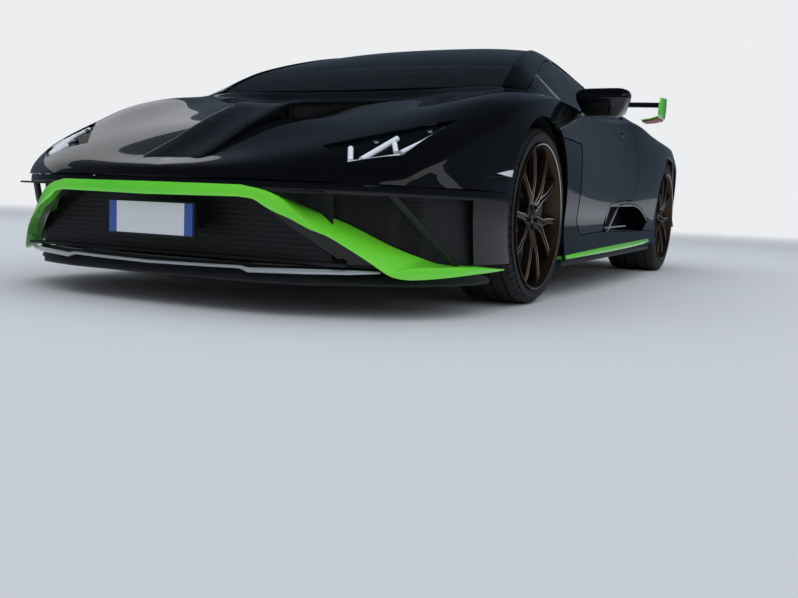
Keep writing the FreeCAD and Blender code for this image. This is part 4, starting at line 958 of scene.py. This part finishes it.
for wheel in wheels:
    label = wheel["tag"] + "_"
    body = "wheel_" + label
    y, r, half = wheel["y"], wheel["r"], wheel["width"] / 2
    centre = (wheel["x"], y, r)
    tyreBm = lathe(bmesh.new(), tyreProfile(half, r), centre, 0, 180)
    shoulder = []
    for face in tyreBm.faces:
        c = face.calc_center_median() - Vector(centre)
        around = round(math.atan2(c.z, c.y) / math.tau * 180 - .5)
        if r - .020 < math.hypot(c.y, c.z) < r - .002 and around % 3 == 0 and abs(c.x) < half:
            shoulder.append(face)
    bmesh.ops.inset_individual(tyreBm, faces=shoulder, thickness=.0012, depth=-.0028, use_even_offset=True)
    addPair(tyreBm, "tyre_skin_" + label, "carbonBlackRubber", body, ["tyre_" + label], sharp=28)

    out = half + .003
    rimSection = [(out, .2735), (out + .002, .270), (out, .2665), (out - .012, .262), (out - .030, .252), (.02, .244),
                  (-.06, .232), (-half + .02, .240), (-half + .008, .262), (-half + .006, .2715),
                  (-half + .012, .2728), (out - .008, .2728)]
    rimBm = lathe(bmesh.new(), rimSection, centre, 0, 96, 0)
    for face in rimBm.faces:
        c = face.calc_center_median() - Vector(centre)
        # the thin ring of bright turned metal on the lip's outer edge is a painted highlight of the rim's edge
        if c.x > out - .0015 and .262 < math.hypot(c.y, c.z) < .269:
            face.material_index = 1
    hub = out - .004
    for vee in range(5):
        for lean in (-1, 1):
            rings = []
            for radius, back, open_, broad in spokeStations:
                turn = math.tau * vee / 5 + lean * math.radians(open_) - math.radians(21)
                along = Vector((0, math.cos(turn), math.sin(turn)))
                aside = Vector((0, -math.sin(turn), math.cos(turn)))
                rings.append([Vector(centre) + Vector((out - back + z, 0, 0)) + along * radius + aside * (a * broad)
                              for a, z in spokeShape])
            joined(rimBm, ribbon(rings, [0, 1, 0, 0, 0, 1, 0, 0, 0, 0, 0, 0]))  # the two ridges are turned bright metal, which also paints in the sun's highlights along the spoke edges
    lathe(rimBm, [(hub - .050, .010), (hub - .050, .050), (hub - .040, .060), (hub - .030, .058), (hub - .026, .050),
                  (hub - .028, .034), (hub - .034, .031), (hub - .034, .010)], centre, 0, 60, 0)
    lathe(rimBm, [(hub - .036, .0005), (hub - .036, .027), (hub - .028, .027), (hub - .0265, .024),
                  (hub - .026, .0005)], centre, 0, 40, 0)
    for k in range(5):
        turn = math.tau * (k + .5) / 5 + math.radians(90)
        place = Vector(centre) + Vector((0, math.cos(turn) * .042, math.sin(turn) * .042))
        addBar(rimBm, place + Vector((hub - .036, 0, 0)), place + Vector((hub - .017, 0, 0)), .0085, 6, 2, .0072)
    addPair(rimBm, "rim_skin_" + label, ["satinBronzeLacquer", "turnedAluminium", "phosphatedSteel"], body,
            ["rim_" + label], sharp=30)

    face0 = out - .062  # outer face of the brake disc
    ring = [(.034, .105), (.034, .190), (.021, .190), (.021, .186), (.013, .186), (.013, .190), (0, .190), (0, .105)]
    bell = [(.045, .030), (.045, .100), (.010, .106), (.003, .104), (.003, .030)]
    discBm = lathe(bmesh.new(), [(face0 - deep, radius) for deep, radius in ring], centre, 0, 90, 0)
    lathe(discBm, [(face0 - deep, radius) for deep, radius in bell], centre, 0, 60, 1)
    addPair(discBm, "brake_disc_" + label, ["groundCastIron", "castAluminium"], body)
print("supercar: wheels")

# seats: a hard shell, and pads blown up by cloth pressure inside the space of the CAD seat
seatLook = dict(centre=.370, voxel=.0068, pressure=4.0, cap=.012, fill=.8)


def blown(bm, cap):  # crowned by pressure, each point moved by no more than the cap
    before = evaluated(bm, "REMESH", mode="VOXEL", voxel_size=seatLook["voxel"])
    pad = bpy.data.objects.new("pad", before)
    bpy.context.scene.collection.objects.link(pad)
    out = bmesh.new()
    out.from_mesh(before)
    cloth = pad.modifiers.new("pressure", "CLOTH")
    cloth.settings.use_pressure = True
    cloth.settings.uniform_pressure_force = seatLook["pressure"]
    cloth.settings.effector_weights.gravity = 0
    cloth.settings.quality = 5
    cloth.point_cache.frame_end = 20
    for step in range(1, 21):
        bpy.context.scene.frame_set(step)
    swollen = bpy.data.meshes.new_from_object(pad.evaluated_get(bpy.context.evaluated_depsgraph_get()))
    for v, after in zip(out.verts, swollen.vertices):
        way = after.co - v.co
        v.co += way if way.length < cap else way * (cap / way.length)
    bpy.context.scene.frame_set(1)
    bpy.data.objects.remove(pad)
    bmesh.ops.smooth_vert(out, verts=out.verts, factor=.5, use_axis_x=True, use_axis_y=True, use_axis_z=True)
    return softer(out, 1)


def seamed(bm, lines, axis, width, depth):  # presses sewn seams in along the planes that cross the axis
    bm.normal_update()
    for v in bm.verts:
        near = min(abs(v.co[axis] - line) for line in lines)
        if near < width:
            v.co -= v.normal * depth * (1 + math.cos(math.pi * near / width)) / 2
    return bm


# side views (y, z) of the pads, and how wide each is about the seat's centre
bolster = [(-.232, .262), (-.236, .338), (.110, .284), (.142, .318), (.330, .800), (.386, .830), (.372, .760),
           (.196, .300), (.140, .226), (.060, .212)]
padShapes = {
    "base_pad": ([(-.232, .246), (-.240, .290), (.060, .238), (.078, .196), (.040, .178)], -.128, .128),
    "back_pad": ([(.152, .262), (.186, .262), (.392, .800), (.418, .860), (.404, .868), (.362, .838)], -.128, .128),
    "bolster_out": (bolster, .168, .228),
    "bolster_in": (bolster, -.228, -.168),
}
for padName, (outline, low, high) in padShapes.items():
    centre = seatLook["centre"]
    padBm = blown(slab(outline, 0, centre + low, centre + high, .010, 2), seatLook["cap"])
    if padName == "base_pad":
        seamed(padBm, [-.150, -.060, .030], 1, .007, .0045)
    elif padName == "back_pad":
        seamed(padBm, [.36, .46, .56, .66, .76], 2, .007, .0045)
    else:
        seamed(padBm, [centre + (low + high) / 2 + math.copysign(.012, low)], 0, .005, .003)
    for pad in addPair(padBm, "seat_" + padName + "_", "microfibreSuede", "chassis", ["seat_"], sharp=60):
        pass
shell = slab([(-.246, .146), (-.264, .324), (-.246, .330), (-.228, .238), (.030, .166), (.150, .218), (.362, .852),
              (.400, .880), (.424, .894), (.464, .858), (.330, .146)], 0, .127, .613, .008, 2)
addPair(shell, "seat_shell_", "mouldedPolypropyleneBlack", "chassis", ["seat_"])
print("supercar: seats")

# door cards, handles and glass trim
card = slab([(-.60, .420), (-.55, .350), (-.15, .330), (-.06, .440), (.40, .470), (.540, .580), (.555, .770),
             (-.60, .770)], 0, .868, .885, .006, 2)
addBlock(card, (.835, -.40, .530), (.872, .25, .590))
addBlock(card, (.845, -.58, .700), (.872, .53, .770))
addPair(eased(card, .004, 2), "door_card_", "microfibreSuede", "door_body_")
pull = eased(addBlock(bmesh.new(), (.878, .295, .757), (.898, .425, .775)), .004, 2)
addPair(pull, "door_handle_", "cellulosePaintBlack", "door_body_")
addPair(addBar(bmesh.new(), (.846, -.662, .815), (.720, -.662, .938), .004, 8), "glass_trim_", "satinNickel")

# wheel arch liners, the front ones parted along the bonnet's seam: axle, radius, first and last degree, outer x
for wheelAt, radius, first, last, reach, label, body in (
        (frontWheel, .3685, 14, 166, .930, "front_upper_", "clamshell_body"),
        (frontWheel, .3685, -14, 11, .905, "front_tail_", "chassis"),
        (rearWheel, .3780, -14, 196, .925, "rear_", "chassis")):
    rings = []
    for k in range(21):
        arc = math.radians(first + (last - first) * k / 20)
        rings.append([(x, wheelAt[0] + r * math.cos(arc), wheelAt[1] + r * math.sin(arc)) for x, r in
                      ((.62, radius), (reach, radius), (reach, radius + .003), (.62, radius + .003))])
    addPair(ribbon(rings), "arch_liner_" + label, "mouldedPolypropyleneBlack", body)

# louvres over the engine
slatRows = dict(first=1.06, step=.098, count=7, length=.078)
slatBm = bmesh.new()
for k in range(slatRows["count"]):
    y = slatRows["first"] + k * slatRows["step"]
    tall = [between(at, [.96, 1.4065, 1.83], [1.087, 1.003, .939]) for at in (y, y + slatRows["length"])]
    half = between(y, [1.0, 1.8], [.265, .215])
    slat = ribbon([[(x, y, tall[0] + .004 - drop), (x, y + slatRows["length"], tall[1] + .020 - drop),
                    (x, y + slatRows["length"], tall[1] + .016 - drop), (x, y, tall[0] - .002 - drop)]
                   for x, drop in ((-half, .006), (-half * .5, .0015), (0, 0), (half * .5, .0015), (half, .006))])
    joined(slatBm, slat)
addPiece(slatBm, "engine_louvres", "polishedAcrylicBlack", "engine_lid")
print("supercar: trim")

for name, node in frame["nodes"].items():
    slotName = slotOf.get(name)
    if slotName in slotFinish:
        node.data.materials.clear()
        node.data.materials.append(finish(slotFinish[slotName]))

# room, light and camera
stage = dict(floor=60.0, fadeFrom=7.0, fadeTo=19.0, key=640, fill=30, worldStrength=1.0, mirrored=.22,
             mirroredUp=.035)
floorBm = bmesh.new()
bmesh.ops.create_grid(floorBm, x_segments=1, y_segments=1, size=stage["floor"])
floorMesh = bpy.data.meshes.new("floor")
floorBm.to_mesh(floorMesh)
floorBm.free()
floor = bpy.data.objects.new("floor", floorMesh)
bpy.context.scene.collection.objects.link(floor)
floorLook = bpy.data.materials.new("paleConcrete")
floorLook.use_nodes = True
tree = floorLook.node_tree
tree.nodes.clear()
# the floor fades into the backdrop, for the camera alone
place = addNode(tree, "ShaderNodeTexCoord")
away = addNode(tree, "ShaderNodeVectorMath", {"operation": "LENGTH"}, {0: place.outputs["Object"]})
fade = addNode(tree, "ShaderNodeMapRange", {"interpolation_type": "SMOOTHSTEP", "From Min": stage["fadeFrom"],
                                            "From Max": stage["fadeTo"]}, {"Value": away.outputs["Value"]})
path = addNode(tree, "ShaderNodeLightPath")
amount = addNode(tree, "ShaderNodeMath", {"operation": "MULTIPLY"},
                 {0: fade.outputs["Result"], 1: path.outputs["Is Camera Ray"]})
matt = addNode(tree, "ShaderNodeBsdfDiffuse", {"Color": linear("#C6C7C8")})
glow = addNode(tree, "ShaderNodeEmission", {"Color": linear("#ECEEF0"), "Strength": 1.0})
both = addNode(tree, "ShaderNodeMixShader", {}, {0: amount.outputs[0], 1: matt.outputs[0], 2: glow.outputs[0]})
addNode(tree, "ShaderNodeOutputMaterial", {}, {"Surface": both.outputs[0]})
floorMesh.materials.append(floorLook)

world = bpy.data.worlds.new("room")
bpy.context.scene.world = world
world.use_nodes = True
tree = world.node_tree
tree.nodes.clear()
path = addNode(tree, "ShaderNodeLightPath")
lit = addNode(tree, "ShaderNodeBackground", {"Color": linear("#C6CCD4"), "Strength": stage["worldStrength"]})
seen = addNode(tree, "ShaderNodeBackground", {"Color": linear("#ECEEF0"), "Strength": 1.0})
ways = addNode(tree, "ShaderNodeSeparateXYZ", {}, {0: addNode(tree, "ShaderNodeTexCoord").outputs["Generated"]})
fall = addNode(tree, "ShaderNodeMapRange", {"interpolation_type": "SMOOTHSTEP", "From Min": .0, "From Max": .85,
                                            "To Min": stage["mirrored"], "To Max": stage["mirroredUp"]},
               {"Value": ways.outputs["Z"]})
dim = addNode(tree, "ShaderNodeBackground", {"Color": linear("#9DB2CC")}, {"Strength": fall.outputs["Result"]})
glossy = addNode(tree, "ShaderNodeMixShader", {}, {0: path.outputs["Is Glossy Ray"], 1: lit.outputs[0],
                                                  2: dim.outputs[0]})
mixed = addNode(tree, "ShaderNodeMixShader", {}, {0: path.outputs["Is Camera Ray"], 1: glossy.outputs[0],
                                                 2: seen.outputs[0]})
addNode(tree, "ShaderNodeOutputWorld", {}, {"Surface": mixed.outputs[0]})


def softLight(name, place, target, size, power, colour="#FFFFFF"):
    lamp = bpy.data.lights.new(name, "AREA")
    lamp.shape = "RECTANGLE"
    lamp.size, lamp.size_y = size
    lamp.energy = power
    lamp.color = linear(colour)[:3]
    holder = bpy.data.objects.new(name, lamp)
    bpy.context.scene.collection.objects.link(holder)
    aim = Vector(target) - Vector(place)
    holder.matrix_world = Matrix.Translation(place) @ aim.to_track_quat("-Z", "Y").to_matrix().to_4x4()
    return holder


overhead = softLight("overhead", (0, -.5, 7.0), (0, -.5, 0), (16.0, 16.0), stage["key"], "#F2F6FF")
overhead.visible_glossy = False  # the paint mirrors the room alone
softLight("leftWall", (6.5, -2.5, 3.6), (0, 0, .5), (8.0, 1.6), stage["fill"])
softLight("rightWall", (-7.0, 1.0, 3.6), (0, 0, .5), (8.0, 2.4), stage["fill"])

view = dict(place=(1.9476008, -4.3788777, .3503347), yaw=-.4599019, pitch=-.1075767, roll=.0428315,
            focal=872.3983, width=798)
forward = Vector((math.cos(view["pitch"]) * math.sin(view["yaw"]), math.cos(view["pitch"]) * math.cos(view["yaw"]),
                  math.sin(view["pitch"])))
level = forward.cross(Vector((0, 0, 1))).normalized()
upright = level.cross(forward)
across = level * math.cos(view["roll"]) + upright * math.sin(view["roll"])
up = upright * math.cos(view["roll"]) - level * math.sin(view["roll"])
lens = bpy.data.cameras.new("camera")
lens.sensor_fit = "HORIZONTAL"
lens.sensor_width = 36
lens.lens = 36 * view["focal"] / view["width"]
camera = bpy.data.objects.new("camera", lens)
bpy.context.scene.collection.objects.link(camera)
camera.matrix_world = Matrix.Translation(view["place"]) @ Matrix((across, up, -forward)).transposed().to_4x4()
bpy.context.scene.camera = camera
bpy.context.scene.view_settings.view_transform = "Standard"

print("supercar: done")
